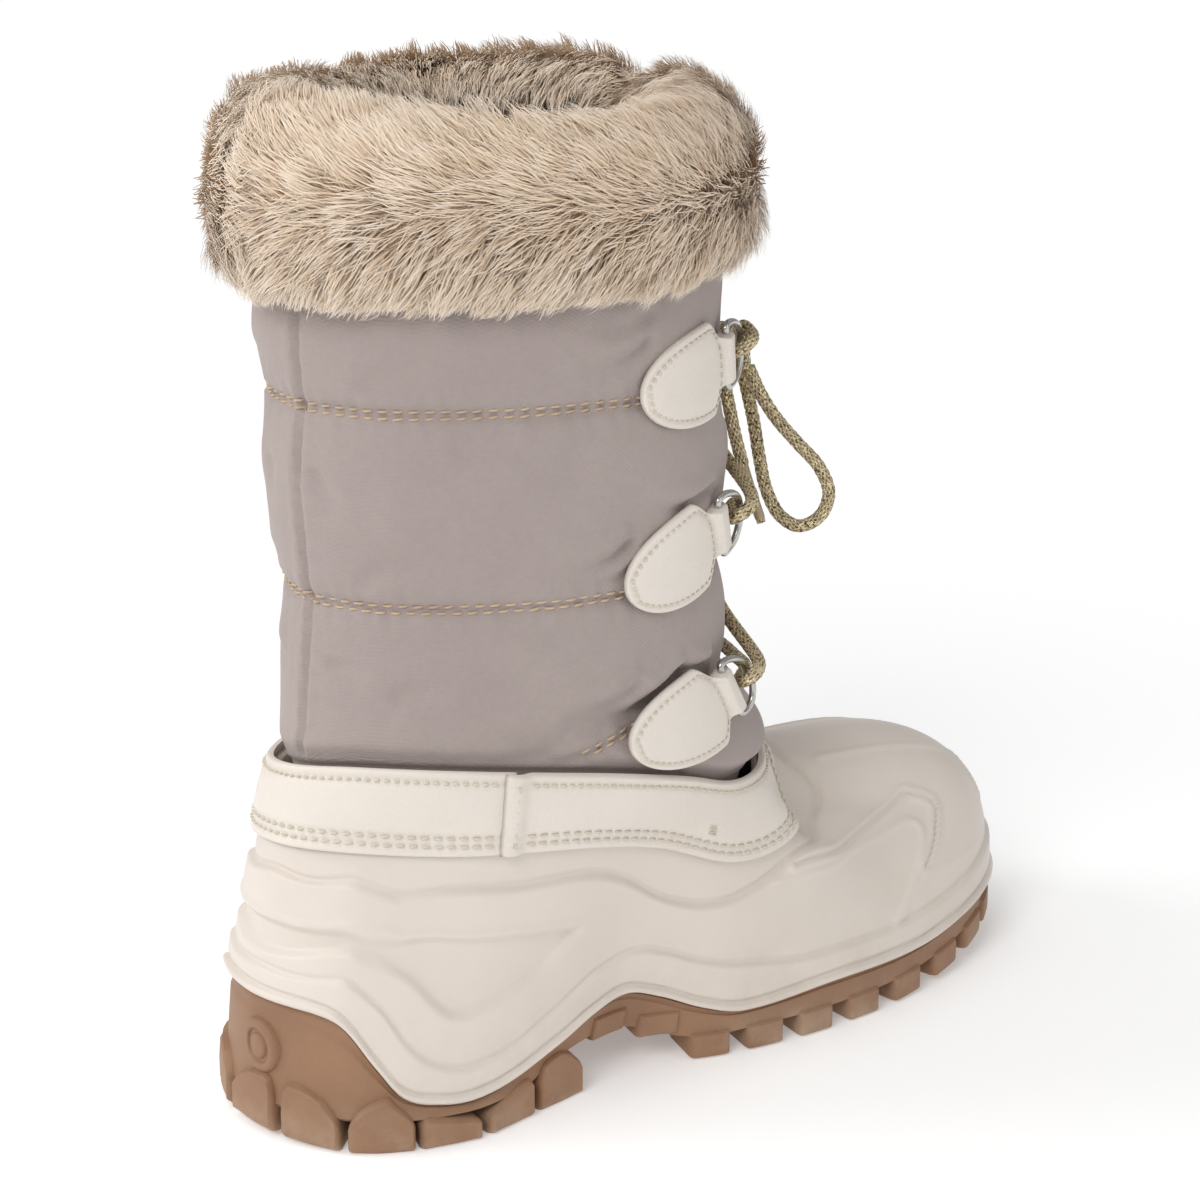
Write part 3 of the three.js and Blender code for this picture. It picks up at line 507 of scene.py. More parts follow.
def skinMaterial(name, base, shade, rough, grain, bump, mottle=(28.0, 0.35, 0.06), dust=None, **constants):
    material, tree, shader = newMaterial(name, **constants)
    blend = useGroup(tree, "mottle", Colour=tone(*base), Shade=tone(*shade), Scale=mottle[0], Amount=mottle[1],
                     Speckle=mottle[2])
    last = blend
    if dust:
        last = useGroup(tree, "dust", Colour=blend.outputs["Colour"], Dust=tone(*dust[0]), Low=dust[1], High=dust[2],
                        Amount=dust[3])
    tree.links.new(last.outputs["Colour"], shader.inputs["Base Color"])
    tree.links.new(toRange(tree, last.outputs["Mask"], rough[0], rough[1]), shader.inputs["Roughness"])
    pebble = useGroup(tree, "grain", Scale=grain[0], Cells=grain[1], Fine=grain[2])
    addBump(tree, shader, pebble.outputs["Height"], bump)
    return material


materials = {
    "foot": skinMaterial("footRubber", (224, 214, 204), (212, 201, 190), (0.42, 0.6), (900.0, 0.25, 0.5), 0.00005,
                         dust=((176, 160, 140), 0.012, 0.05, 0.22), Specular_IOR_Level=0.4, Coat_Weight=0.05,
                         Coat_Roughness=0.35),
    "sole": skinMaterial("gumRubber", (154, 118, 91), (132, 99, 76), (0.55, 0.75), (700.0, 0.3, 0.6), 0.0001,
                         mottle=(40.0, 0.5, 0.12), dust=((196, 178, 156), 0.0, 0.016, 0.5), Specular_IOR_Level=0.35),
    "leather": skinMaterial("softLeather", (230, 222, 212), (216, 206, 194), (0.45, 0.62), (1500.0, 0.5, 0.4), 0.00012,
                            mottle=(22.0, 0.4, 0.08), Specular_IOR_Level=0.4, Sheen_Weight=0.05),
    "paleThread": skinMaterial("paleThread", (222, 212, 196), (190, 176, 156), (0.6, 0.8), (3200.0, 0.6, 0.6), 0.00012),
    "beigeThread": skinMaterial("beigeThread", (206, 182, 152), (160, 134, 106), (0.55, 0.8), (3200.0, 0.6, 0.6),
                                0.00012),
    "felt": skinMaterial("feltInsole", (142, 122, 104), (104, 86, 70), (0.9, 1.0), (2100.0, 0.4, 1.0), 0.0004,
                         mottle=(70.0, 0.7, 0.3), Sheen_Weight=0.4),
}


def clothMaterial():
    material, tree, shader = newMaterial("napCloth", Specular_IOR_Level=0.18, Sheen_Weight=0.22, Sheen_Roughness=0.45)
    shader.inputs["Sheen Tint"].default_value = (0.95, 0.9, 0.88, 1)
    threads = useGroup(tree, "weave", Threads=5200.0, Fuzz=0.8)
    blend = useGroup(tree, "mottle", Colour=tone(168, 155, 151), Shade=tone(152, 139, 136), Scale=16.0, Amount=0.5,
                     Speckle=0.1)
    worn = toRange(tree, threads.outputs["Tone"], 0.0, 0.4)
    nap = blendColours(tree, "MIX", worn, blend.outputs["Colour"], tone(184, 172, 166))
    tree.links.new(nap, shader.inputs["Base Color"])
    tree.links.new(toRange(tree, threads.outputs["Tone"], 0.72, 0.9), shader.inputs["Roughness"])
    addBump(tree, shader, threads.outputs["Height"], 0.00016)
    return material


def laceMaterial():
    # Braid of beige yarn with bright metal flecks. The map runs along the lace and round it.
    material, tree, shader = newMaterial("glitterBraid", Specular_IOR_Level=0.5)
    spot = tree.nodes.new("ShaderNodeTexCoord")
    parts = tree.nodes.new("ShaderNodeSeparateXYZ")
    tree.links.new(spot.outputs["UV"], parts.inputs[0])
    runAt = calc(tree, "MULTIPLY", parts.outputs["X"], 2.4)
    turn = calc(tree, "MULTIPLY", parts.outputs["Y"], 6.2832 * 5)
    one = calc(tree, "SINE", calc(tree, "ADD", runAt, turn))
    two = calc(tree, "SINE", calc(tree, "SUBTRACT", runAt, turn))
    braid = calc(tree, "MAXIMUM", one, two)
    yarn = noise(tree, spot.outputs["Object"], 2400.0, 4, 0.7)
    # Painted shade: the braid's grooves take the darker yarn colour and its crests the lighter one.
    base = blendColours(tree, "MIX", toRange(tree, braid, 0.0, 1.0), tone(142, 122, 90), tone(214, 198, 164))
    fleck = tree.nodes.new("ShaderNodeTexVoronoi")
    fleck.inputs["Scale"].default_value = 1500.0
    tree.links.new(spot.outputs["Object"], fleck.inputs["Vector"])
    hue = tree.nodes.new("ShaderNodeSeparateColor")
    tree.links.new(fleck.outputs["Color"], hue.inputs[0])
    bright = calc(tree, "GREATER_THAN", hue.outputs[0], 0.72)
    gold = blendColours(tree, "MIX", bright, base, tone(240, 224, 180))
    dark = calc(tree, "LESS_THAN", hue.outputs[1], 0.09)
    tree.links.new(blendColours(tree, "MIX", dark, gold, tone(96, 80, 52)), shader.inputs["Base Color"])
    tree.links.new(calc(tree, "MULTIPLY", bright, 0.75), shader.inputs["Metallic"])
    tree.links.new(toRange(tree, bright, 0.7, 0.28), shader.inputs["Roughness"])
    height = calc(tree, "ADD", calc(tree, "MULTIPLY", braid, 0.5), calc(tree, "MULTIPLY", yarn, 0.5))
    addBump(tree, shader, height, 0.0003)
    return material


def steelMaterial():
    material, tree, shader = newMaterial("ringSteel", Metallic=1.0)
    blend = useGroup(tree, "mottle", Colour=tone(206, 204, 200), Shade=tone(150, 148, 144), Scale=160.0, Amount=0.5,
                     Speckle=0.15)
    tree.links.new(blend.outputs["Colour"], shader.inputs["Base Color"])
    tree.links.new(toRange(tree, blend.outputs["Mask"], 0.2, 0.42), shader.inputs["Roughness"])
    brushed = useGroup(tree, "grain", Scale=2400.0, Cells=0.2, Fine=0.6)
    addBump(tree, shader, brushed.outputs["Height"], 0.00003)
    return material


def furMaterial(name, root, middle, tip):
    # The map runs from the root to the tip of each strand, with a random value for each one.
    material, tree, shader = newMaterial(name, Roughness=0.75, Specular_IOR_Level=0.25, Sheen_Weight=0.15)
    spot = tree.nodes.new("ShaderNodeTexCoord")
    parts = tree.nodes.new("ShaderNodeSeparateXYZ")
    tree.links.new(spot.outputs["UV"], parts.inputs[0])
    ramp = tree.nodes.new("ShaderNodeValToRGB")
    tree.links.new(parts.outputs["Y"], ramp.inputs[0])
    stops = ramp.color_ramp.elements
    stops[0].position, stops[0].color = 0.0, tone(*root)
    stops[1].position, stops[1].color = 1.0, tone(*tip)
    half = stops.new(0.45)
    half.color = tone(*middle)
    patches = noise(tree, spot.outputs["Object"], 34.0, 4, 0.6)
    amount = toRange(tree, patches, 0.0, 0.75)
    darker = blendColours(tree, "MULTIPLY", amount, ramp.outputs["Color"], tone(232, 216, 196))
    each = blendColours(tree, "MIX", toRange(tree, parts.outputs["X"], 0.0, 0.4), darker, tone(*tip))
    tree.links.new(each, shader.inputs["Base Color"])
    return material


materials["cloth"] = clothMaterial()
materials["lace"] = laceMaterial()
materials["steel"] = steelMaterial()
materials["fur"] = furMaterial("furStrands", (176, 144, 112), (228, 206, 180), (250, 241, 228))
# A darker copy of the fur for the cuff's inner side: painted shade where less light reaches.
materials["shadedFurInside"] = furMaterial("shadedFurInside", (104, 82, 64), (158, 132, 107), (206, 186, 162))
materials["furSkin"] = skinMaterial("furSkin", (206, 178, 148), (172, 142, 112), (0.9, 1.0), (900.0, 0.8, 1.0), 0.0009,
                                    mottle=(60.0, 0.8, 0.3), Sheen_Weight=0.3)
print("materials ready")


# Mesh helpers; every list of points is in millimetres.
def gridFaces(rows, columns, closeRows=False, closeColumns=False):
    i, j = np.meshgrid(np.arange(rows if closeRows else rows - 1),
                       np.arange(columns if closeColumns else columns - 1), indexing="ij")
    nextI, nextJ = (i + 1) % rows, (j + 1) % columns
    corners = (i * columns + j, i * columns + nextJ, nextI * columns + nextJ, nextI * columns + j)
    return np.stack(corners, axis=-1).reshape(-1, 4)


def cappedFaces(rows, columns):
    # Rings joined into a tube, with one face over each end.
    loop = np.arange(columns)[None]
    return [gridFaces(rows, columns, False, True), loop[:, ::-1], (rows - 1) * columns + loop]


def outward(points, faces):
    # The faces turned so that the closed form's volume is positive.
    volume = sum(np.einsum("ij,ij->i", points[f[:, 0]], np.cross(points[f[:, k]], points[f[:, k + 1]])).sum()
                 for f in faces for k in range(1, f.shape[1] - 1))
    return [f[:, ::-1] for f in faces] if volume < 0 else faces


def makePiece(name, points, faces, material, slot, nodes=(), uv=None, soften=None, closed=True):
    points = np.asarray(points, float).reshape(-1, 3) * 0.001
    faces = [np.asarray(f) for f in (faces if isinstance(faces, list) else [faces])]
    if closed:
        faces = outward(points, faces)
    corners = np.concatenate([f.ravel() for f in faces]).astype(np.int32)
    sizes = np.concatenate([np.full(len(f), f.shape[1]) for f in faces])
    mesh = bpy.data.meshes.new(name)
    mesh.vertices.add(len(points))
    mesh.vertices.foreach_set("co", points.astype(np.float32).ravel())
    mesh.loops.add(len(corners))
    mesh.loops.foreach_set("vertex_index", corners)
    mesh.polygons.add(len(sizes))
    mesh.polygons.foreach_set("loop_start", np.concatenate([[0], np.cumsum(sizes)[:-1]]).astype(np.int32))
    mesh.polygons.foreach_set("use_smooth", np.ones(len(sizes), bool))
    if uv is not None:
        layer = mesh.uv_layers.new(name="map")
        layer.data.foreach_set("uv", np.asarray(uv, np.float32)[corners].ravel())
    mesh.update(calc_edges=True)
    if soften is not None:
        mesh.set_sharp_from_angle(angle=math.radians(soften))
    mesh.materials.append(materials[material])
    piece = bpy.data.objects.new(name, mesh)
    bpy.context.scene.collection.objects.link(piece)
    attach(piece, "root")
    if nodes:
        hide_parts(*nodes)
    return piece


def makeCapped(name, grid, *look):
    return makePiece(name, grid, cappedFaces(*grid.shape[:2]), *look)


def joinedMeshes(parts):
    points, faces, base = [], [], 0
    for p, f in parts:
        p = np.asarray(p).reshape(-1, 3)
        for one in (f if isinstance(f, list) else [f]):
            faces.append(np.asarray(one) + base)
        points.append(p)
        base += len(p)
    return np.concatenate(points), faces


def curvePoints(points, count):
    # A centripetal curve through the points, sampled evenly by length.
    p = np.asarray(points, float)
    ends = np.concatenate([[2 * p[0] - p[1]], p, [2 * p[-1] - p[-2]]])
    out = []
    for a, b, c, d in zip(ends[:-3], ends[1:-2], ends[2:-1], ends[3:]):
        t0 = 0.0
        t1 = t0 + max(np.linalg.norm(b - a), 1e-6) ** 0.5
        t2 = t1 + max(np.linalg.norm(c - b), 1e-6) ** 0.5
        t3 = t2 + max(np.linalg.norm(d - c), 1e-6) ** 0.5
        t = np.linspace(t1, t2, 24, endpoint=False)[:, None]
        ab = (t1 - t) / (t1 - t0) * a + (t - t0) / (t1 - t0) * b
        bc = (t2 - t) / (t2 - t1) * b + (t - t1) / (t2 - t1) * c
        cd = (t3 - t) / (t3 - t2) * c + (t - t2) / (t3 - t2) * d
        abc = (t2 - t) / (t2 - t0) * ab + (t - t0) / (t2 - t0) * bc
        bcd = (t3 - t) / (t3 - t1) * bc + (t - t1) / (t3 - t1) * cd
        out.append((t2 - t) / (t2 - t1) * abc + (t - t1) / (t2 - t1) * bcd)
    out.append(p[-1:])
    line = np.concatenate(out)
    length = runLength(line)
    return columnsAt(np.linspace(0, length[-1], count), length, line), length[-1]


def framesAlong(line, closed=False):
    ahead = np.roll(line, -1, axis=0) - np.roll(line, 1, axis=0) if closed else np.gradient(line, axis=0)
    ahead = unit(ahead)
    up = np.array([0.0, 0.0, 1.0]) if abs(ahead[0, 2]) < 0.9 else np.array([1.0, 0.0, 0.0])
    side = np.empty_like(ahead)
    last = unit(np.cross(ahead[0], up))
    for i, a in enumerate(ahead):
        last = unit(last - a * np.dot(last, a))
        side[i] = last
    return side, np.cross(ahead, side)


def roundTube(line, radius, sides, closed=False, relief=None):
    # A tube along a line; relief gives its radius a pattern round and along it.
    side, over = framesAlong(line, closed)
    run = runLength(line)
    turn = np.arange(sides) / sides
    radius = np.broadcast_to(radius, len(line))[:, None] * np.ones(sides)
    if relief is not None:
        radius = radius * relief(run[:, None], turn[None, :])
    c, s = np.cos(turn * 2 * np.pi)[None, :, None], np.sin(turn * 2 * np.pi)[None, :, None]
    points = line[:, None] + (side[:, None] * c + over[:, None] * s) * radius[..., None]
    faces = gridFaces(len(line), sides, closed, True)
    uv = np.stack([np.broadcast_to(run[:, None], (len(line), sides)),
                   np.broadcast_to(np.abs(turn * 2 - 1)[None, :] * 2, (len(line), sides))], axis=-1)
    points = points.reshape(-1, 3)
    uv = uv.reshape(-1, 2)
    if closed:
        return points, [faces], uv
    last = (len(line) - 1) * sides
    starts = [np.arange(sides)[::-1], last + np.arange(sides)]
    caps = [np.array([(loop[0], loop[k], loop[k + 1]) for k in range(1, sides - 1)]) for loop in starts]
    return points, [faces] + caps, uv


stitchShape = {"sides": 6, "at": (-0.5, -0.36, 0.0, 0.36, 0.5), "girth": (0.3, 0.9, 1.0, 0.9, 0.3),
               "sink": (-0.32, 0.02, 0.16, 0.02, -0.32)}


def stitchRun(line, normals, pitch, length, width, slant=0.0):
    # Separate sewn stitches along a line on a surface, their ends dipping into it.
    run = runLength(line)
    count = max(int(run[-1] / pitch), 1)
    at = (np.arange(count) + 0.5) * run[-1] / count
    middle = columnsAt(at, run, line)
    ahead = unit(columnsAt(np.minimum(at + 1, run[-1]), run, line) - columnsAt(np.maximum(at - 1, 0), run, line))
    out = unit(columnsAt(at, run, normals))
    side = unit(np.cross(out, ahead))
    tilt = slant + rng.uniform(-0.05, 0.05, count)
    ahead = unit(ahead + side * tilt[:, None])
    side = unit(np.cross(out, ahead))
    sides = stitchShape["sides"]
    turn = np.arange(sides) / sides * 2 * np.pi
    shape = []
    for spot, girthOf, sink in zip(stitchShape["at"], stitchShape["girth"], stitchShape["sink"]):
        centre = middle + ahead * spot * length + out * (sink * width * 2 + width * 0.25)
        ring = centre[:, None] + (side[:, None] * np.cos(turn)[None, :, None]
                                  + out[:, None] * np.sin(turn)[None, :, None]) * width / 2 * girthOf
        shape.append(ring)
    points = np.stack(shape, axis=1)
    rings = len(shape)
    face = gridFaces(rings, sides, False, True)
    caps = np.array([(0, sides - 1 - k, sides - 2 - k) for k in range(sides - 2)])
    tips = np.array([(0, k + 1, k + 2) for k in range(sides - 2)]) + (rings - 1) * sides
    base = np.arange(count)[:, None, None] * rings * sides
    return points.reshape(-1, 3), [(face + base).reshape(-1, 4), (np.concatenate([caps, tips]) + base).reshape(-1, 3)]


def waves(points, size, count=7):
    # Soft, seeded unevenness from crossing waves of about one size.
    local = np.random.default_rng(int(size * 10) + count)
    total = np.zeros(points.shape[:-1])
    for _ in range(count):
        way = unit(local.normal(size=3))
        total = total + np.sin(points @ way * 2 * np.pi / (size * local.uniform(0.7, 1.4)) + local.uniform(0, 6.3))
    return total / count ** 0.5 / 1.4


# The lace's crossings, the bow and the knot.
tabs = [{"z": 118, "tilt": 14, "front": 52}, {"z": 169, "tilt": 18, "front": 52}, {"z": 222, "tilt": 8, "front": 46}]
tabSize = {"length": 42, "height": 29, "hem": 15, "thickness": 2, "hemThickness": 5.4, "hemLength": 6, "perDegree": 1.1}
ring = {"half": 9.2, "reach": 10, "bowOut": 5.8, "wire": 2.2}
sides = {"outer": -1, "inner": 1}


def fullest(angle, z, reach):
    return np.max([swellAt(angle, z + step * reach) for step in (-1, -0.5, 0, 0.5, 1)], axis=0)


def tabPoint(tab, side, back, up, out):
    back, up, out = np.broadcast_arrays(*[np.asarray(v, float) for v in (back, up, out)])
    c, s = math.cos(math.radians(tab["tilt"])), math.sin(math.radians(tab["tilt"]))
    angle = side * (tab["front"] + (back * c + up * s) / tabSize["perDegree"])
    z = tab["z"] + up * c - (back - tabSize["length"] / 2) * s
    reach = tabSize["height"] / 2
    bed = fullest(side * (tab["front"] + tabSize["length"] / 2 / tabSize["perDegree"]), tab["z"], reach)
    low = legPoint(angle, tab["z"] - reach, bed + 0.9 + out)
    high = legPoint(angle, tab["z"] + reach, bed + 0.9 + out)
    share = ((z - tab["z"] + reach) / (2 * reach))[..., None]
    return low + (high - low) * share


def laceOver(angle, z):
    return legPoint(angle, z, fullest(angle, z, 6) + lace["diameter"] / 2 + 1.3)


def ringHeight(tab):
    return tab["z"] + (tabSize["length"] / 2 + 7) * math.sin(math.radians(tab["tilt"]))


lace = {
    "diameter": 4.2, "sides": 16, "step": 0.75, "strands": 5, "relief": 0.055,
    "knot": {"centre": (25, -14.5, 216), "size": (11, 12, 16)},
    "loopOuter": [(30.5, -20.5, 210), (33.5, -22.5, 202), (37.5, -25.5, 194), (43, -29.5, 186), (48.5, -34, 178),
                  (51, -36, 169.5), (49, -34, 162), (44, -30, 159), (39.5, -26, 162.5), (37.5, -22, 170),
                  (37, -19, 180), (36, -17, 192), (34, -15.5, 203), (32.6, -14.5, 210)],
    "loopInner": [(27, -5.6, 216), (30.5, 2, 208), (36, 14, 196), (41, 24, 184), (44, 30, 174), (44, 30.5, 166),
                  (41, 26, 160), (36, 18, 158.5), (33, 11, 163), (31, 6, 173), (29.5, 1.5, 186), (28.5, -3, 198),
                  (27.5, -6.5, 207)],
    "endOuter": [(25, -15.5, 205.2), (26.3, -16, 199), (28.1, -17.5, 188), (30, -20.5, 176), (32.8, -25, 161)],
    "endInner": [(22, -10, 206), (21.5, -4, 198), (21.5, 2, 187), (21.5, 5, 176), (21.5, 6, 164)],
    "tip": {"length": 19, "diameter": 3.3},
}


def braidRelief(run, turn):
    n, pitch = lace["strands"], 2.4
    one, two = np.sin(2 * np.pi * n * turn + run * pitch), np.sin(2 * np.pi * n * turn - run * pitch)
    return 1 - lace["relief"] + lace["relief"] * np.maximum(one, two)


def braidPiece(name, lines, radius, nodes):
    parts, maps = [], []
    for line in lines:
        p, f, uv = roundTube(line, radius, lace["sides"], relief=braidRelief)
        parts.append((p, f))
        maps.append(uv * (1, 0.5))
    points, faces = joinedMeshes(parts)
    return makePiece(name, points, faces, "lace", "lace", nodes, np.concatenate(maps))


def lacePiece(name, points, nodes, taper=0.0):
    # One free length of lace; its last part narrows into its tip.
    length = curvePoints(points, 400)[1]
    line, length = curvePoints(points, int(length / lace["step"]))
    run = np.linspace(0, length, len(line))
    radius = lace["diameter"] / 2 - 0.62 * smooth(length - taper - 0.5, length - taper + 1.0, run) * (taper > 0)
    return braidPiece(name, [line], radius, nodes), line, length


def laceHalf(first):
    second = -first

    def through(tab, side):
        # Up from under the ring's bow, round its wire and back over it.
        route = ((-13, -2.6, 3.4), (-9.5, -2.5, 2.6), (-6.2, -2.2, 2.4), (-3.9, -1.2, 3.9), (-3.2, 0.2, 6.0),
                 (-4.4, 1.4, 8.2), (-7.2, 2.2, 9.4), (-10.5, 2.5, 8.9), (-14, 2.8, 7.6))
        return [tabPoint(tab, side, back, up, out) for back, up, out in route]

    def across(side, low, high):
        return [laceOver(side * (40 - 80 * t), ringHeight(low) + 2 + (ringHeight(high) - ringHeight(low) - 4) * t)
                for t in (0.2, 0.35, 0.5, 0.65, 0.8)]

    knot = lace["knot"]["centre"]
    route = [laceOver(first * angle, ringHeight(tabs[0]) - 3) for angle in (0, 13, 24)]
    route += through(tabs[0], first) + across(first, tabs[0], tabs[1])
    route += through(tabs[1], second) + across(second, tabs[1], tabs[2])
    route += through(tabs[2], first)
    route += [np.array((knot[0] - 3, knot[1] + first * 8.6, knot[2] + 2.0)),
              np.array((knot[0] - 1, knot[1] + first * 3, knot[2]))]
    return np.array([np.asarray(p).reshape(3) for p in route])


def addLaces():
    lines = []
    for first in (-1, 1):
        line, length = curvePoints(laceHalf(first), 900)
        lines.append(curvePoints(line[::6], int(length / lace["step"]))[0])
    braidPiece("lace_crossings_braid", lines, lace["diameter"] / 2, ("lace_crossings",))

    for word in ("Outer", "Inner"):
        name = "lace_loop_" + word.lower()
        piece, line, length = lacePiece(name + "_braid", lace["loop" + word], (name,))
        full, whole = curvePoints(lace["end" + word], 400)
        cut = lace["tip"]["length"]
        name = "lace_end_" + word.lower()
        piece, line, length = lacePiece(name + "_braid", lace["end" + word], (name,), taper=cut)
        tipLine = curvePoints(full[int(400 * (1 - (cut + 1.5) / whole)):], 26)[0]
        t = np.linspace(0, 1, 26)
        radius = lace["tip"]["diameter"] / 2 * (1 - 0.25 * smooth(0.9, 1.0, t)) * (0.96 + 0.04 * smooth(0, 0.1, t))
        p, f, uv = roundTube(tipLine, radius, 16)
        tip = makePiece("lace_tip_" + word.lower(), p, f, "tip", "lace", uv=uv, soften=40)


def addKnot():
    # A snug half bow knot: one wrap over two crossed turns.
    cx, cy, cz = lace["knot"]["centre"]
    wrap = [(cx + 4.0 * math.cos(a) + 0.6, cy + 4.3 * math.sin(a), cz + 1.2 * math.sin(a * 0.5))
            for a in np.linspace(0, 2 * math.pi, 13)[:-1]]
    turns = [
        wrap + [wrap[0]],
        [(cx - 2, cy + 5, cz + 5), (cx + 2.5, cy + 1.5, cz + 5.4), (cx + 4.6, cy - 3.5, cz + 1.5),
         (cx + 4.4, cy - 5.2, cz - 4), (cx + 4.2, cy - 5.6, cz - 7)],
        [(cx - 2, cy - 5, cz + 5), (cx + 2.5, cy - 1.5, cz + 4.8), (cx + 4.8, cy + 2.8, cz + 0.5),
         (cx + 2.6, cy + 7, cz - 2.0), (cx + 2.4, cy + 8.2, cz - 2.6)],
        [(cx, cy, cz + 3), (cx + 0.4, cy - 0.8, cz - 4), (cx, cy - 1, cz - 10.5)],
        [(cx - 2, cy + 1, cz + 2), (cx - 2.6, cy + 3.2, cz - 4), (cx - 3, cy + 4.4, cz - 10)],
    ]
    lines = []
    for route in turns:
        line, length = curvePoints(route, 4000)
        lines.append(curvePoints(line[::100], max(int(length / lace["step"]), 12))[0])
    braidPiece("lace_knot_braid", lines, lace["diameter"] / 2 - 0.05, ("lace_knot",))


materials["tip"] = skinMaterial("lacePoint", (178, 160, 128), (150, 130, 98), (0.3, 0.45), (1800.0, 0.2, 0.5), 0.00005,
                                Coat_Weight=0.4, Coat_Roughness=0.2)
addLaces()
addKnot()
print("laces done")


# The moulded foot: lines given as turn round the foot and rise up its side, outer side first.
foot = {
    "columns": 480, "rows": 108, "innerRows": 10,
    "collarLine": ((0, .52), (.031, .48), (.061, .55), (.094, .60), (.127, .58), (.156, .56), (.168, .53), (.181, .48),
                   (.205, .36), (.225, .34), (.244, .37), (.274, .45), (.299, .54), (.370, .79), (.418, .81),
                   (.437, .84), (.456, .88), (.50, .91)),
    "dishTop": ((0, .28), (.041, .29), (.074, .44), (.101, .44), (.129, .41), (.159, .35), (.175, .30)),
    "dishLow": ((0, .12), (.034, .16), (.061, .26), (.074, .31), (.088, .21), (.098, .18), (.124, .20), (.147, .23),
                (.162, .32), (.175, .34)),
    "foxing": ((0, .09), (.034, .09), (.051, .14), (.061, .16), (.068, .16), (.075, .12), (.084, .09), (.096, .07),
               (.112, .07), (.131, .07), (.151, .09), (.176, .12), (.191, .12), (.204, .14), (.229, .14), (.260, .14),
               (.293, .10), (.319, .11), (.342, .13), (.367, .15), (.393, .16), (.426, .17), (.5, .17)),
    "toeRidge": ((.451, .80), (.464, .53), (.470, .43), (.464, .40), (.449, .31)),
    "swooshOuter": ((.298, .51), (.366, .63), (.413, .60), (.418, .56), (.415, .49), (.398, .43), (.376, .33)),
    "swooshInner": ((.281, .44), (.318, .47), (.354, .57), (.391, .55), (.396, .50), (.390, .45),
                    (.376, .37), (.346, .15)),
    "facet": ((.346, .13), (.368, .27), (.383, .28), (.419, .23)),
    "stepOut": 1.2, "stepIn": 0.55, "foxOut": 1.3, "dishDepth": 2.6, "beadOut": 1.5,
}


def columnLengths(turns):
    samples = np.linspace(0, 1, 90)
    line = footPoint(turns[:, None], samples[None, :])
    steps = np.linalg.norm(np.diff(line, axis=1), axis=2)
    return samples, np.concatenate([np.zeros((len(turns), 1)), np.cumsum(steps, axis=1)], axis=1)


def lineRise(pairs, turns):
    # A moulded line's rise at each turn, the same on both sides of the foot.
    t = np.minimum(turns % 1, 1 - turns % 1)
    xs, ys = zip(*pairs)
    return along(xs, ys, t)


def toLine(points, pairs, mirror=False):
    # How far points are from a line drawn on the foot.
    dense = np.linspace(0, len(pairs) - 1, 400)
    places = np.arange(len(pairs))
    turn, rise = (along(places, [p[k] for p in pairs], dense) for k in (0, 1))
    line = footPoint(1 - turn if mirror else turn, rise)
    near = np.full(points.shape[0], 1e3)
    box = np.all((points > line.min(0) - 9) & (points < line.max(0) + 9), axis=1)
    if box.any():
        tree = KDTree(len(line))
        for i, p in enumerate(line):
            tree.insert(p, i)
        tree.balance()
        near[box] = [tree.find(p)[2] for p in points[box]]
    return near


def footRelief(turns, arc, points):
    # How far the moulded skin stands out from the plain form.
    samples, length = columnLengths(turns)
    runAt = np.interp(turns % 1, girthTurns, girth)

    def signedTo(pairs):
        level = lineRise(pairs, turns)
        line = np.array([np.interp(r, samples, l) for r, l in zip(level, length)])
        kernel = np.exp(-(np.arange(-9, 10) / 3.6) ** 2)
        line = np.convolve(np.concatenate([line[-9:], line, line[:9]]), kernel / kernel.sum(), "valid")
        slope = np.gradient(line, runAt + girth[-1] * np.floor(turns))
        return (arc - line[:, None]) / np.sqrt(1 + slope[:, None] ** 2)

    t = np.minimum(turns % 1, 1 - turns % 1)[:, None]
    over = signedTo(foot["collarLine"])
    out = -foot["stepIn"] + (foot["stepIn"] + foot["stepOut"]) * smooth(0.3, -1.5, over) ** 0.6
    out = out - 0.6 * ridge(over - 0.75, 0.75)
    top, low = signedTo(foot["dishTop"]), signedTo(foot["dishLow"])
    dish = smooth(0.2, -2.8, top) * smooth(-0.2, 3.2, low) * smooth(.172, .155, t)
    out = out - foot["dishDepth"] * dish + 0.5 * ridge(top - 0.8, 1.2) * smooth(.165, .15, t)
    fox = signedTo(foot["foxing"])
    out = out + foot["foxOut"] * smooth(0.25, -1.3, fox) ** 0.7 - 0.45 * ridge(fox - 0.6, 0.6)
    flat = points.reshape(-1, 3)
    for mirror in (False, True):
        outer, inner = (toLine(flat, foot[k], mirror).reshape(arc.shape) for k in ("swooshOuter", "swooshInner"))
        out = out + 0.9 * ridge(outer - 1.4, 1.4) * (outer < 9) - 0.7 * ridge(outer, 0.9)
        out = out + 0.75 * ridge(inner, 1.3)
        out = out + 0.8 * ridge(toLine(flat, foot["toeRidge"], mirror).reshape(arc.shape), 1.5)
        out = out + 0.4 * ridge(toLine(flat, foot["facet"], mirror).reshape(arc.shape), 1.4)
    out = out + foot["beadOut"] * np.sqrt(np.clip(1 - ((arc - 1.3) / 1.3) ** 2, 0, 1)) * 0.8
    out = out - 0.9 * ridge(arc - 3.1, 0.55)
    return out + 0.12 * waves(points, 38, 5)


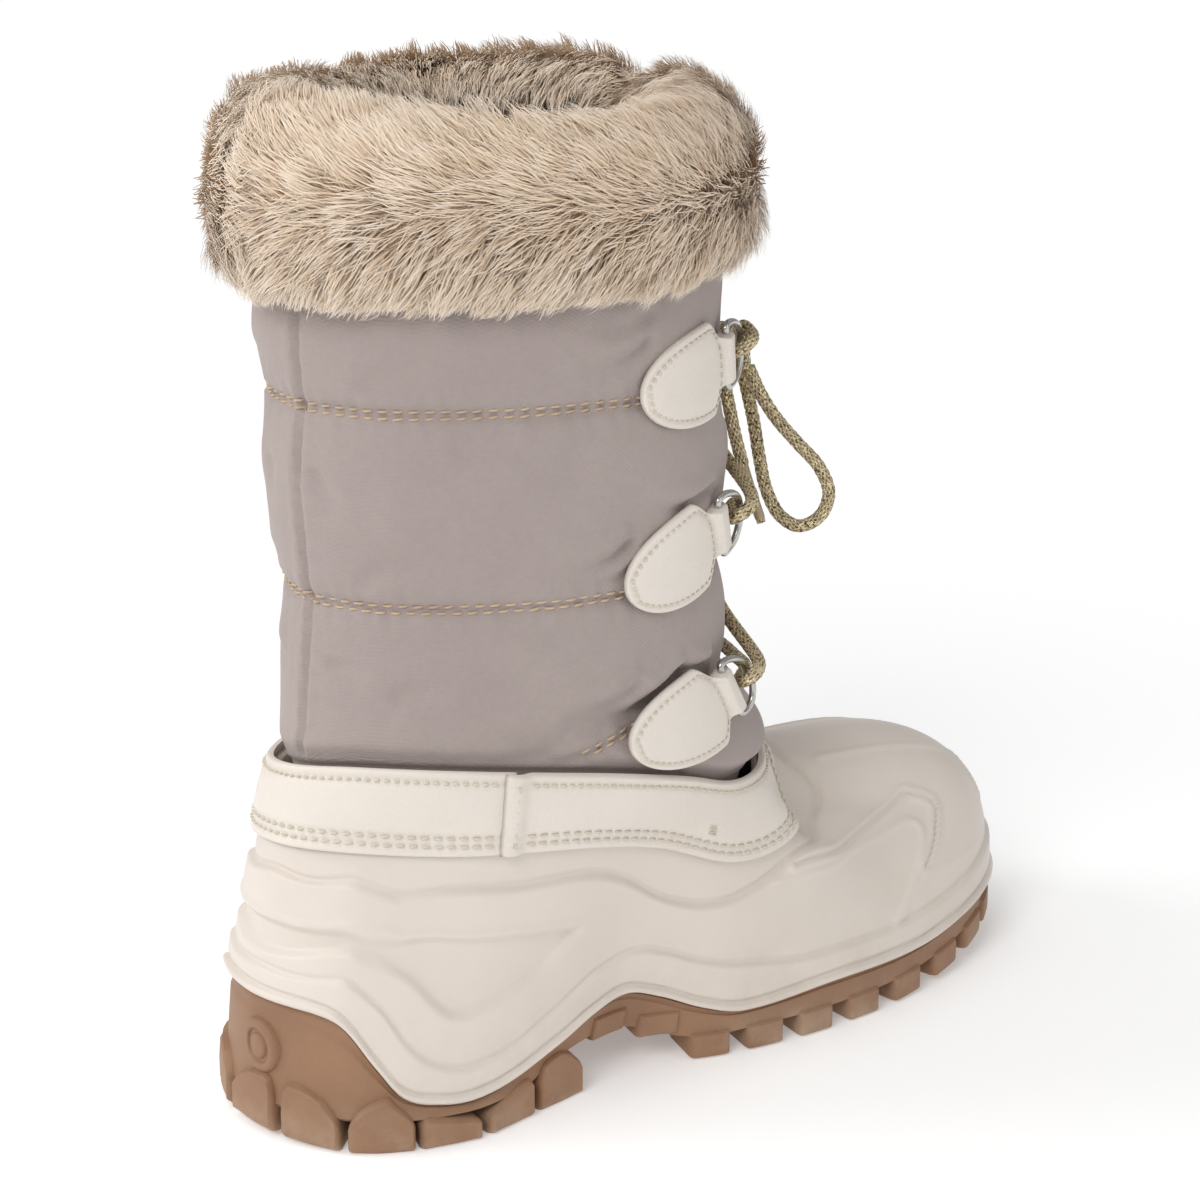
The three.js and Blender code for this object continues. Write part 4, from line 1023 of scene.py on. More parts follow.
def addFoot():
    turns = np.arange(foot["columns"]) / foot["columns"]
    samples, length = columnLengths(turns)
    edge = length[:, -1] - around("band", turns)
    lower, upper = foot["rows"] - 10, 10
    low = edge[:, None] * (np.linspace(0, 1, lower)[None, :])
    high = edge[:, None] + (length[:, -1:] - 3 - edge[:, None]) * np.linspace(0, 1, upper + 1)[None, 1:]
    arc = np.concatenate([low, high], axis=1)
    rises = np.array([np.interp(a, l, samples) for a, l in zip(arc, length)])
    plain = footPoint(turns[:, None], rises)
    relief = footRelief(turns, arc, plain)
    fade = smooth(length[:, -1:] - 3, length[:, -1:] - 14, arc)
    outer = plain + footNormal(turns[:, None], rises) * (relief * fade)[..., None]
    outer[:, 0, 2] = plain[:, 0, 2]
    outer[:, 1, 2] = np.maximum(outer[:, 1, 2], plain[:, 0, 2])
    innerAt = np.linspace(0, 1, foot["innerRows"])
    innerArc = arc[:, -1:] * innerAt[None, ::-1]
    innerRises = np.array([np.interp(a, l, samples) for a, l in zip(innerArc, length)])
    inner = footSkin(turns[:, None], innerRises, -boot["footWall"])
    grid = np.concatenate([outer, inner], axis=1)
    faces = gridFaces(*grid.shape[:2], True, True)
    makePiece("moulded_foot", grid, faces, "foot", "moulded_foot", ("upper",))


# The gum sole with its lugs.
sole = {
    "columns": 360, "inset": 3.6, "rimOut": 1.0,
    "heelLugs": {"first": -0.158, "last": 0.158, "count": 11, "length": 18.4, "depth": 19, "drop": 5,
                 "climb": 13, "proud": 2.0},
    "archLugs": ((0.190, 14.0), (0.2165, 9.6)),
    "foreLugs": {"first": 0.2415, "last": 0.7585, "count": 20, "length": 13.4, "depth": 17, "drop": 4,
                 "climb": 5, "proud": 1.4},
    "bars": {"heel": ((-108, 0, 34, 11, 0), (-86, 0, 34, 11, 0)), "foreX": (4, 30, 56, 82), "foreY": 15, "length": 24,
             "width": 11, "turn": 24},
    "boss": {"turn": 0.004, "z": 27},
}


def treadLow(x):
    return springZ(x) + 2.5 * np.clip((-122 - x) / 20, 0, 1) ** 2


def roundedStack(outline, levels):
    # A closed block from one outline, each level a height and a shrink towards its middle.
    middle = outline.mean(axis=0)
    rows = []
    for z, shrink in levels:
        p = middle + (outline - middle) * shrink
        p[:, 2] = z
        rows.append(p)
    return np.concatenate(rows), cappedFaces(len(rows), len(outline))


def ringsInside(loop, fractions, heightOf):
    # Copies of a loop drawn in towards the middle of the sole, each at the height of its own place.
    middle = np.array([-5.0, 0, 0])
    rings = []
    for fraction in fractions:
        p = middle + (loop - middle) * fraction
        p[:, 2] = heightOf(p[:, 0])
        rings.append(p)
    return rings


def petal(runAt, lean):
    # How high a heel lug reaches at a place along it, -1 to 1: tall and upright on one side, curved on the other.
    t = np.clip((runAt * lean + 1) / 2, 0, 1)
    curved = np.sqrt(np.clip(1 - (1 - t / 0.82) ** 2.2, 0, 1))
    return np.where(t > 0.82, np.sqrt(np.clip(1 - ((t - 0.82) / 0.2) ** 2, 0, 1)), curved)



def lugTurns(turn, row, across):
    # The turns that a lug's width spans, across it from -1 to 1.
    perTurn = np.linalg.norm(outlinePoint(turn + 0.005) - outlinePoint(turn - 0.005)) / 0.01
    return turn + row["length"] / 2 / perTurn * across


def wallOut(x, z):
    # How far the sole's wall stands out beside the lugs.
    share = np.clip((z - plateZ(x)[:, None]) / (rimZ(x) - plateZ(x))[:, None], 0, 1)
    return soleFlare(x)[:, None] * (1 - share) + sole["rimOut"] * share


def lugMesh(bottomEdge, front, topEdge):
    grid = np.concatenate([bottomEdge[:, None], front, topEdge[:, None]], axis=1)
    return grid.reshape(-1, 3), cappedFaces(*grid.shape[:2])


def heelLug(turn, row, lean):
    u = np.sin(np.linspace(-1, 1, 25) * np.pi / 2)
    turns = lugTurns(turn, row, u)
    x = around("footX", turns)
    low = treadLow(x)
    limit = np.minimum(row["climb"], rimZ(x) - 3 - low - row["drop"])
    climb = petal(u, lean) * limit
    top = low + row["drop"] + climb
    v = np.linspace(0, 1, 16)
    z = low[:, None] + (top - low)[:, None] * v[None, :]
    wall = wallOut(x, z)
    edgeFade = dome((v - 0.86) / 0.14)[None, :]
    sideFade = dome((np.abs(u) - 0.84) / 0.16)[:, None]
    soft = np.clip(edgeFade * sideFade, 0, 1) * (0.55 + 0.45 * smooth(0, 0.12, v))[None, :]
    ridgeEdge = 0.35 * np.exp(-((1 - np.maximum(np.abs(u)[:, None], v[None, :])) / 0.12 - 1.1) ** 2)
    out = wall - 1.2 + (row["proud"] + 1.2) * soft + ridgeEdge * soft
    front = outlinePoint(turns[:, None], out, z)
    bottomEdge = outlinePoint(turns, -row["depth"], low)
    topEdge = outlinePoint(turns, -row["depth"], np.minimum(top, plateZ(x) + 3))
    return lugMesh(bottomEdge, front, topEdge)


def foreLug(turn, row, floorAt=None):
    u = np.concatenate([[-1], -1 + 0.28 * (1 - np.cos(np.linspace(0, np.pi / 2, 5)[1:])), np.linspace(-0.6, 0.6, 7),
                        1 - 0.28 * (1 - np.cos(np.linspace(np.pi / 2, 0, 5)[:-1])), [1]])
    u = np.unique(np.round(u, 4))
    turns = lugTurns(turn, row, u)
    x = around("footX", turns)
    low, rim = treadLow(x), rimZ(x)
    if floorAt is not None:
        low = np.full_like(x, floorAt)
    top = np.minimum(low + row["drop"] + row["climb"], rim - 2)
    v = np.array([0, 0.03, 0.09, 0.2, 0.5, 0.75, 0.88, 0.96, 1.0])
    lift = 1.6 * (1 - dome((np.abs(u) - 0.75) / 0.25))
    z = (low + lift)[:, None] + (top - low - lift)[:, None] * v[None, :]
    wall = wallOut(x, z)
    sideFade = dome((np.abs(u) - 0.8) / 0.2)[:, None]
    endFade = (dome((0.16 - v) / 0.16) * dome((v - 0.8) / 0.2))[None, :]
    out = wall - 1.4 + (row["proud"] + 1.4) * np.minimum(sideFade, endFade)
    front = outlinePoint(turns[:, None], out, z)
    shrink = lugTurns(turn, row, u * 0.84)
    bottomEdge = outlinePoint(shrink, -row["depth"], low + lift)
    topEdge = outlinePoint(shrink, -row["depth"], np.maximum(plateZ(around("footX", shrink)) + 3, low + 2))
    return lugMesh(bottomEdge, front, topEdge)


def treadBar(x, y, length, width, turnBy):
    c, s = math.cos(math.radians(turnBy)), math.sin(math.radians(turnBy))
    t = np.linspace(0, 2 * np.pi, 33)[:-1]
    power = 0.35
    u = np.sign(np.cos(t)) * np.abs(np.cos(t)) ** power * width / 2
    v = np.sign(np.sin(t)) * np.abs(np.sin(t)) ** power * length / 2
    outline = np.stack([x + u * c - v * s, y + u * s + v * c, np.zeros_like(u)], axis=-1)
    low = springZ(outline[:, 0])
    top = plateZ(outline[:, 0]) + 3
    return roundedStack(outline, [(low, 0.9), (low + 0.5, 0.96), (low + 1.4, 0.99), (low + 3.5, 1.0), (top, 1.03)])


def addSole():
    turns = np.arange(sole["columns"]) / sole["columns"]
    x = around("footX", turns)
    rim = rimZ(x) - 0.25
    low = plateZ(x)
    parts = []
    wall = []
    for v in np.linspace(0, 1, 26):
        z = low + (rim - low) * v
        out = soleFlare(x) * (1 - v) + sole["rimOut"] * v
        out = out - 1.1 * (1 - dome((v - 0.93) / 0.07))
        out = out - 0.7 * ridge(v - 0.86, 0.035) - 1.2 * (v < 0.02)
        wall.append(outlinePoint(turns, out, z))
    ledge = outlinePoint(turns, -sole["inset"], rimZ(x) - 0.75)
    bedZ = footbedZ(x)
    bed = outlinePoint(turns, -sole["inset"] - 3.0 * (bedZ > rimZ(x) + 1), bedZ)
    rows = ringsInside(wall[0], (0.04, 0.2, 0.4, 0.6, 0.8, 0.93), plateZ) + wall + [ledge, bed]
    rows += ringsInside(bed, (0.8, 0.5, 0.25, 0.04), footbedZ)
    grid = np.array(rows)
    parts.append((grid.reshape(-1, 3), cappedFaces(*grid.shape[:2])))
    row = sole["heelLugs"]
    for i, turn in enumerate(np.linspace(row["first"], row["last"], row["count"])):
        parts.append(heelLug(turn, row, 1 if i % 2 else -1))
    row = sole["foreLugs"]
    for turn in np.linspace(row["first"], row["last"], row["count"]):
        parts.append(foreLug(turn, row))
    for turn, low in sole["archLugs"]:
        for at in (turn, 1 - turn):
            parts.append(foreLug(at, row, low))
    bars = sole["bars"]
    for bar in bars["heel"]:
        parts.append(treadBar(*bar))
    for bx in bars["foreX"]:
        for side in (-1, 1):
            parts.append(treadBar(bx, side * bars["foreY"], bars["length"], bars["width"], -side * bars["turn"]))
    # A plain raised disc with a ring round it, at the heel's back.
    boss = sole["boss"]
    seat = outlinePoint(boss["turn"], (soleFlare(-141) + 1) / 2, boss["z"])
    profile = ((0.05, 1.3), (3.2, 1.3), (3.7, 1.0), (4.0, 0.35), (5.2, 0.35), (5.6, 1.1), (6.1, 1.35), (7.4, 1.35),
               (8.0, 1.0), (8.5, 0.2), (8.6, -2.5))
    a = np.linspace(0, 2 * np.pi, 49)[:-1]
    disc = np.array([[(seat[0] - h, seat[1] + r * math.cos(b), seat[2] + r * math.sin(b)) for b in a]
                     for r, h in profile])
    disc[..., 0] += 0.012 * (disc[..., 1] - seat[1]) ** 2
    parts.append((disc.reshape(-1, 3), cappedFaces(len(profile), 48)))
    fixed = [(p, outward(p, f)) for p, f in parts]
    makeJoined("gum_sole", fixed, "sole", "sole_rubber", ("outsole",), soften=38)


def makeJoined(name, parts, material, slot, nodes=(), soften=None):
    points, faces = joinedMeshes(parts)
    return makePiece(name, points, faces, material, slot, nodes, soften=soften, closed=False)


def addInsole():
    turns = np.arange(160) / 160
    loops = []
    for height, inset in ((1.2, 5.6), (3.6, 5.0), (5.0, 5.6)):
        x = around("footX", turns)
        z = footbedZ(x) + height
        wall = np.maximum(z - rimZ(x), 0)
        p = outlinePoint(turns, -(inset + 0.012 * wall ** 2 + 0.1 * wall), z)
        loops.append(p)
    rows = ringsInside(loops[0], (0.04, 0.5), lambda x: footbedZ(x) + 1.2) + loops
    rows += ringsInside(loops[2], (0.92, 0.8, 0.6, 0.4, 0.2, 0.04), lambda x: footbedZ(x) + 5.2)
    grid = np.array(rows)
    grid[5:, :, 2] += 0.3 * waves(grid[5:], 14, 6)
    makeCapped("felt_insole", grid, "felt", "felt", ("insole",))


# The leather ankle band, sewn from two lengths.
band = {"thickness": 1.8, "gap": 0.3, "seam": 0.12, "overlap": 0.005, "topRow": 3.2, "lowRows": (3.4, 5.9),
        "thread": 0.72, "topPitch": 2.8, "lowPitch": 3.7, "puff": 0.55}


def bandSkin(turns, down, out):
    # A point of the band, some distance down from its top edge.
    samples, length = columnLengths(turns)
    down = np.broadcast_to(down, (len(turns), np.shape(down)[-1]))
    rises = np.array([np.interp(l[-1] - d, l, samples) for l, d in zip(length, down)])
    return footPoint(turns[:, None], rises) + footNormal(turns[:, None], rises) * out[..., None], rises


def addBand(name, first, last, count, lift, nodes):
    turns = np.linspace(first, last, count)
    width = around("band", turns)
    v = np.concatenate([[0, 0.006, 0.02, 0.04], np.linspace(0.06, 0.94, 26), [0.96, 0.98, 0.994, 1]])
    down = width[:, None] * v[None, :]
    near = np.minimum(down, width[:, None] - down)
    body = dome(1 - near / 0.9)
    puff = band["puff"] * np.sin(np.pi * np.clip((down - 3) / (width[:, None] - 8.5), 0, 1)) ** 0.6
    lowRows = sum(ridge(width[:, None] - down - r, 0.9) for r in band["lowRows"])
    sewn = 0.5 * (ridge(down - band["topRow"], 0.9) + lowRows)
    ends = np.minimum(np.abs(turns - first), np.abs(turns - last))[:, None] * girth[-1]
    body = body * dome(1 - ends / 0.9)
    plain = footPoint(turns[:, None], np.full((1, len(v)), 0.9))
    soft = 0.16 * waves(np.concatenate([plain[..., :2], down[..., None]], axis=-1), 24, 6)
    lap = lift * 5.4 * smooth(7.5, 3.6, ends)
    out = band["gap"] + lap + (band["thickness"] + lift) * body + (puff * smooth(1, 6, ends) - sewn + soft) * body
    skin = bandSkin(turns, down, out)[0]
    back = bandSkin(turns, down[:, ::6][:, ::-1], np.full((count, len(v[::6])), band["gap"]) + lap)[0]
    grid = np.concatenate([skin, back], axis=1)
    makeCapped(name, grid, "leather", "leather", nodes)


def bandStitches():
    parts = []
    out = band["gap"] + band["thickness"] + 0.1
    seam = band["seam"]
    for start, end, lift in ((0.007 - seam, seam - 0.007, 0.0), (seam + 0.006, 0.994 - seam, 0.35)):
        turns = np.linspace(start, end, 260)
        width = around("band", turns)
        rows = [(np.full(260, band["topRow"]), band["topPitch"], 1.9)]
        rows += [(width - r, band["lowPitch"], 2.6) for r in band["lowRows"]]
        for down, pitch, size in rows:
            line, rises = bandSkin(turns, down[:, None], np.full((260, 1), out + lift * 0.5))
            parts.append(stitchRun(line[:, 0], footNormal(turns, rises[:, 0]), pitch, size, band["thread"], slant=0.12))
    for turn in (seam + 0.0005, 0.9995 - seam):
        down = np.linspace(2.5, around("band", turn) - 2.0, 30)
        line, rises = bandSkin(np.array([turn]), down[None, :], np.full((1, 30), out + 1.8))
        parts.append(stitchRun(line[0], footNormal(np.full(30, turn), rises[0]), 3.3, 2.2, 0.62))
    # A short bar of stitches on each side, low on the band.
    for turn in (0.232, 0.768):
        turns = np.linspace(turn - 0.004, turn + 0.004, 8)
        for k in range(5):
            line, rises = bandSkin(turns, (around("band", turns) - 9 - k * 0.7)[:, None], np.full((8, 1), out + 0.5))
            parts.append(stitchRun(line[:, 0], footNormal(turns, rises[:, 0]), 5, 4.4, 0.6))
    makeJoined("band_stitches", parts, "paleThread", "leather")


addFoot()
addSole()
addInsole()
addBand("ankle_band_heel_leather", -band["seam"], band["seam"], 150, 0.0, ("ankle_band_heel",))
lapped = band["seam"] - band["overlap"]
addBand("ankle_band_front_leather", lapped, 1 - lapped, 420, 0.35, ("ankle_band_front",))
bandStitches()
print("foot, sole and band done")


# The quilted leg. Its open front runs between the two sides of the throat.
shaft = {
    "columns": 300, "rows": 150, "tuck": 8, "edgeRound": 3.2,
    "stitchRows": (218, 161), "rowGap": 2.0, "pitch": 4.4, "stitch": 3.4,
    # Listed folds: angle, height, run of angle and of height to the far end, width in mm, depth in mm.
    "folds": (
        (303, 131, -15, 3, 2.4, 1.6), (291, 134, -33, -14, 2.6, 1.7), (277, 133, -23, -6, 2.8, 1.1),
        (272, 127, -38, -5, 4.0, 0.8), (258, 118, -13, -3, 3.0, 0.7), (296, 160, -3, 9, 1.5, 0.9),
        (304, 158, -2, 10, 1.5, 0.8), (312, 160, -1, 10, 1.8, 0.7), (274, 178, -14, -8, 2.2, 1.2),
        (277, 171, -15, -6, 2.0, 0.6), (280, 236, -15, -8, 2.4, 1.0), (281, 244, -15, -5, 2.8, 0.6),
        (303, 188, -21, -3, 2.0, 1.3), (322, 224, -4, -12, 1.8, 0.8), (330, 200, -4, -14, 2.6, 0.7),
        (250, 141, -14, 3, 5.0, 0.45), (192, 142, 12, -4, 3.0, 0.6), (191, 200, 7, -14, 3.5, 0.6),
        (208, 226, 16, 3, 4.0, 0.5), (232, 206, 14, 6, 5.0, 0.45), (262, 156, -14, -5, 4.0, 0.5),
        (262, 206, -14, -6, 5.0, 0.45), (214, 134, 12, 2, 4.0, 0.6), (222, 174, -14, 4, 4.0, 0.45),
        (240, 152, 12, 4, 3.5, 0.4), (205, 168, 10, 5, 3.0, 0.4),
    ),
}


def lowRow(angle):
    # The lowest stitch row falls behind the band away from the front.
    away = np.abs((angle + 180) % 360 - 180)
    return 124 - 16 * smooth(60, 120, away)


def rowHeights(angle):
    return [np.full_like(angle, z) for z in shaft["stitchRows"]] + [lowRow(angle)]


def quiltSwell(angle, z):
    front = 0.5 + 0.5 * np.cos(np.radians(angle))
    bounds = [76, lowRow(angle), 161, 218, 268]
    swell, frontSwell = (2.2, 3.0, 3.4, 2.9), (4.2, 1.9, 1.2, 0.9)
    total = np.zeros(np.broadcast(angle, z).shape)
    for low, high, a, b in zip(bounds[:-1], bounds[1:], swell, frontSwell):
        t = np.clip((z - low) / (high - low), 0, 1)
        total = total + (a + b * front ** 2) * np.sin(np.pi * t) ** 0.55
    return total


def foldsAt(angle, z):
    total = np.zeros(np.broadcast(angle, z).shape)
    for a, h, runA, runZ, width, depth in shaft["folds"]:
        for flip in (False, True):
            at = (360 - a, -runA) if flip else (a, runA)
            x, y = (((angle % 360) - at[0] + 180) % 360 - 180) * 1.05, z - h
            dx, dy = at[1] * 1.05, runZ
            size = math.hypot(dx, dy)
            t = (x * dx + y * dy) / size
            bend = 0.09 * size * np.sin(np.clip(t / size, 0, 1) * np.pi)
            off = (x * dy - y * dx) / size + bend
            fade = smooth(-2.5, 1.5, t) * smooth(size + 5, size * 0.35, t)
            spread = width * (1 + 0.6 * np.clip(t / size, 0, 1))
            trough = 2.3 * ridge(off, spread * 0.8) - 1.3 * ridge(off - 1.9 * spread, spread * 1.2)
            total = total - depth * fade * trough
    return total


def shaftOut(angle, z, topZ, points):
    swell = quiltSwell(angle, z) * np.clip((z - topZ) / 6, 0, 1)
    pucker = np.zeros_like(swell)
    for k, level in enumerate(rowHeights(angle)):
        gapTo = z - level
        arc = angle * 1.05
        ripple = np.sin(arc * 2 * np.pi / 7.5 + 2.0 * np.sin(arc / 9.0 + k) + np.sign(gapTo))
        ripple = ripple + 0.7 * np.sin(arc * 2 * np.pi / 4.4 + 1.7 * np.sin(arc / 5.0 + 2 * k))
        pucker += 0.30 * ripple * np.exp(-np.abs(np.abs(gapTo) - 3.0) / 3.2)
        pucker -= 0.9 * np.exp(-(np.abs(gapTo) / 1.9) ** 4)
        pucker += 0.22 * np.exp(-(gapTo / 0.7) ** 2)
    seam = ((angle % 360) - 182.5 - (z - 146) * 0.05 + 180) % 360 - 180
    groove = -2.4 * ridge(seam * 1.05, 1.1) + 0.45 * ridge(seam * 1.05 - 3.4, 2.2) + 0.6 * ridge(seam * 1.05 + 3.6, 2.4)
    tucks = 0.22 * np.sin(z * 2 * np.pi / 6.2 + 2 * np.sin(z / 8)) * np.exp(-np.abs(np.abs(seam) - 3.2) / 3.0)
    uneven = 0.42 * waves(points, 34, 7) + 0.15 * waves(points, 13, 7)
    return swell + pucker + foldsAt(angle, z) + groove + tucks + uneven


def throatEnds():
    half = math.degrees(math.asin(boot["throatHalf"] / 72))
    t = np.linspace(0.3, 0.7, 4001)
    a = around("angle", t)
    return np.interp(360 - half, a, t), np.interp(360 + half, a, t)


def addShaft():
    first, last = throatEnds()
    turns = np.linspace(last - 1, first, shaft["columns"])
    topZ, angle = around("topZ", turns), around("angle", turns) % 360
    v = np.linspace(0, 1, shaft["rows"])
    start = topZ - shaft["tuck"]
    z = start[:, None] + (boot["shaftTop"] - start)[:, None] * v[None, :]
    a = np.broadcast_to(angle[:, None], z.shape)
    plain = legPoint(a, z)
    drift = np.minimum(0, -0.6 * np.clip(topZ[:, None] - z, 0, 8))
    quilted = shaftOut(a, z, topZ[:, None], plain) * smooth(-1, 5, z - topZ[:, None])
    out = np.where(z < topZ[:, None], -1.4 + drift * 0.4, quilted)
    thin = 0.55 + 0.45 * np.clip((z - topZ[:, None]) / 40, 0, 1)
    wall = boot["shaftWall"] * thin
    runAt = runLength(legPoint(angle, 180.0))
    toEnd = np.minimum(runAt, runAt[-1] - runAt)[:, None]
    toTop = boot["shaftTop"] - z
    r = shaft["edgeRound"]
    nearest = np.minimum(toEnd, toTop)
    cut = r * (1 - dome(1 - nearest / r))
    swellIn = -swellAt(a, z) * 0.3
    inner = swellIn - wall + cut
    outer = np.maximum(out - cut, inner + 0.4)
    skin = legPoint(a, z, outer)
    rows = shaft["rows"]
    pick = np.unique(np.concatenate([np.linspace(0, rows - 1, 16).astype(int), [rows - 3, rows - 2]]))[::-1]
    back = legPoint(a[:, pick], z[:, pick], inner[:, pick])
    grid = np.concatenate([skin, back], axis=1)
    piece = makeCapped("quilted_shaft", grid, "cloth", "shaft_cloth", ("shaft",))


def shaftStitches():
    parts = []
    first, last = throatEnds()
    turns = np.linspace(last - 1, first, 900)
    known = around("angle", turns) % 360
    angle = np.linspace(known[0] + 14, known[-1] - 14, 1600)
    topZ = np.interp(angle, known, around("topZ", turns))
    for level in rowHeights(angle):
        for side in (-1, 1):
            z = level + side * shaft["rowGap"] / 2 + 0.35 * np.sin(np.radians(angle) * 3)
            plain = legPoint(angle, z)
            out = shaftOut(angle, z, topZ, plain)
            line = legPoint(angle, z, out - 0.02)
            normal = legPoint(angle, z, 1) - legPoint(angle, z, 0)
            shown = z > topZ + 5
            pieces = np.split(np.arange(len(angle)), np.nonzero(np.diff(shown.astype(int)))[0] + 1)
            for part in pieces:
                if shown[part[0]] and len(part) > 12:
                    parts.append(stitchRun(line[part], normal[part], shaft["pitch"], shaft["stitch"], 0.85, slant=0.10))
    makeJoined("shaft_stitches", parts, "beigeThread", "shaft_cloth")


def addTongue():
    angle = np.linspace(-30, 30, 70)
    z = np.linspace(92, 258, 130)
    a, h = np.meshgrid(angle, z, indexing="ij")
    inside = boot["shaftWall"] + 0.3 + 2.5
    edge = 1 - (a / 30) ** 4
    toEdge = np.minimum.reduce([(30 - np.abs(a)) * 1.05, h - 92, 258 - h])
    soft = dome(1 - toEdge / 1.6)
    thick = 1.5 + 3.5 * edge
    quilt = 0.5 * np.abs(np.sin((h - 92) * np.pi / 27.7)) ** 0.6 * edge + 0.15 * waves(legPoint(a, h), 18, 6)
    outer = legPoint(a, h, -inside - thick * 0.5 * (1 - soft) + (quilt - 0.5) * soft)
    behind = -inside - thick + thick * 0.5 * (1 - soft)
    back = legPoint(*(values[:, ::10][:, ::-1] for values in (a, h, behind)))
    grid = np.concatenate([outer, back], axis=1)
    piece = makeCapped("padded_tongue", grid, "cloth", "shaft_cloth", ("tongue",))


# Leather tabs, each folded round the bar of its ring.
def tabHalf(back):
    hemEnd = tabSize["hemLength"] + 8
    t = np.clip((back - tabSize["hemLength"]) / (hemEnd - tabSize["hemLength"]), 0, 1)
    near = (tabSize["hem"] + (tabSize["height"] - tabSize["hem"]) * t * t * (3 - 2 * t)) / 2
    far = np.clip((back - hemEnd) / (tabSize["length"] - hemEnd), 0, 1)
    nose = np.maximum(tabSize["height"] / 2 * np.sqrt(np.clip(1 - far ** 2.4, 0, 1)), 0.6)
    return np.where(back < hemEnd, near, nose)


def tabFace(back, up):
    # How far the tab's face stands out: a soft fold at the ring end, gently crowned, pulled in at its stitches.
    half = tabHalf(back)
    edge = np.minimum(half - np.abs(up), (tabSize["length"] - back) * 1.2)
    fold = smooth(tabSize["hemLength"] + 2.2, tabSize["hemLength"] - 0.6, back)
    crown = 0.7 * smooth(0, 8, edge)
    sewn = -0.32 * ridge(edge - 2.4, 0.7) * (1 - fold)
    hem = tabSize["hemThickness"] - tabSize["thickness"] - 0.2
    return tabSize["thickness"] + fold * hem + crown * (1 - fold) + sewn


def addTab(word, side, i, tab):
    nearNose = tabSize["length"] - 3 * (1 - np.sin(np.linspace(0, np.pi / 2, 9)[1:]))
    back = np.concatenate([np.linspace(0, 1.4, 6), np.linspace(2, tabSize["length"] - 3, 54), nearNose])
    v = np.sin(np.linspace(-1, 1, 45) * np.pi / 2)
    half = tabHalf(back)
    up = half[:, None] * v[None, :]
    b = np.broadcast_to(back[:, None], up.shape)
    toEdge = np.minimum.reduce([half[:, None] - np.abs(up), (tabSize["length"] - b)])
    body = dome(1 - toEdge / 0.8)
    nose = dome(1 - b / 2.7)
    face = tabFace(b, up) + 0.10 * waves(np.stack([b, up, np.full_like(up, 40 * i + 20 * side)], axis=-1), 15, 6)
    middle = tabSize["hemThickness"] / 2
    out = 0.9 + (face - 0.9) * body
    out = middle + (out - middle) * nose
    low = middle + (0 - middle) * nose
    outer = tabPoint(tab, side, b, up, out)
    inner = tabPoint(tab, side, b[:, ::4][:, ::-1], up[:, ::4][:, ::-1], np.minimum(low, out)[:, ::4][:, ::-1])
    grid = np.concatenate([outer, inner], axis=1)
    tabName = "%s_%d" % (word, i + 1)
    makeCapped("tab_" + tabName + "_leather", grid, "leather", "leather", ("lace_tab_" + tabName,))


def tabStitches():
    parts = []
    for side in sides.values():
        for tab in tabs:
            inset = 2.4
            back = np.linspace(tabSize["hemLength"] + 2.6, tabSize["length"] - inset, 60)
            back = back[-1] - (back[-1] - back[0]) * (1 - np.linspace(0, 1, 60)) ** 1.6
            half = np.clip(tabHalf(np.minimum(back + 0.4, tabSize["length"])) - inset, 0, None)
            half[-1] = 0
            route = np.concatenate([np.stack([back, half], -1), np.stack([back, -half], -1)[::-1][1:]])
            cross = np.stack([np.full(20, back[0] + 0.2), np.linspace(-half[0], half[0], 20)], -1)
            for path in (route, cross):
                back, up = path.T
                out = tabFace(back, up)
                line = tabPoint(tab, side, back, up, out + 0.1)
                normal = tabPoint(tab, side, back, up, out + 1) - tabPoint(tab, side, back, up, out)
                line = curvePoints(line[::2], 160)[0]
                normal = normal[np.linspace(0, len(normal) - 1, 160).astype(int)]
                parts.append(stitchRun(line, normal, 2.4, 1.75, 0.55, slant=0.08))
    makeJoined("tab_stitches", parts, "paleThread", "leather")


def addRing(word, side, i, tab):
    h, r = ring["half"], ring["reach"]
    hem = tabSize["hemThickness"] / 2
    bar = [(0, up, hem) for up in (-h, -h * 0.6, 0, h * 0.6, h)]
    bow = []
    for a in (60, 30, 0, -30, -60):
        forward = r * math.cos(math.radians(a)) ** 0.7
        bow.append((forward, h * math.sin(math.radians(a)) * 1.04, hem + (ring["bowOut"] - hem) * forward / r))
    route = bar + [(2.6, h * 1.06, 3.3)] + bow + [(2.6, -h * 1.06, 3.3)]
    points = np.array([tabPoint(tab, side, tabSize["hemLength"] / 2 - f, up, out) for f, up, out in route])
    looped = np.concatenate([points[-3:], points, points[:3]])
    line = curvePoints(looped, 400)[0]
    away = np.linalg.norm(line - points[0], axis=1)
    line = line[np.argmin(away[:200]):200 + np.argmin(away[200:])]
    line = line[np.linspace(0, len(line) - 1, 97).astype(int)[:-1]]
    p, f = roundTube(line, ring["wire"] / 2, 14, closed=True)[:2]
    makePiece("ring_%s_%d_steel" % (word, i + 1), p, f, "steel", "ring_metal", ("d_ring_%s_%d" % (word, i + 1),))


addShaft()
shaftStitches()
addTongue()
for word, side in sides.items():
    for i, tab in enumerate(tabs):
        addTab(word, side, i, tab)
        addRing(word, side, i, tab)
tabStitches()
print("leg, tongue, tabs and rings done")


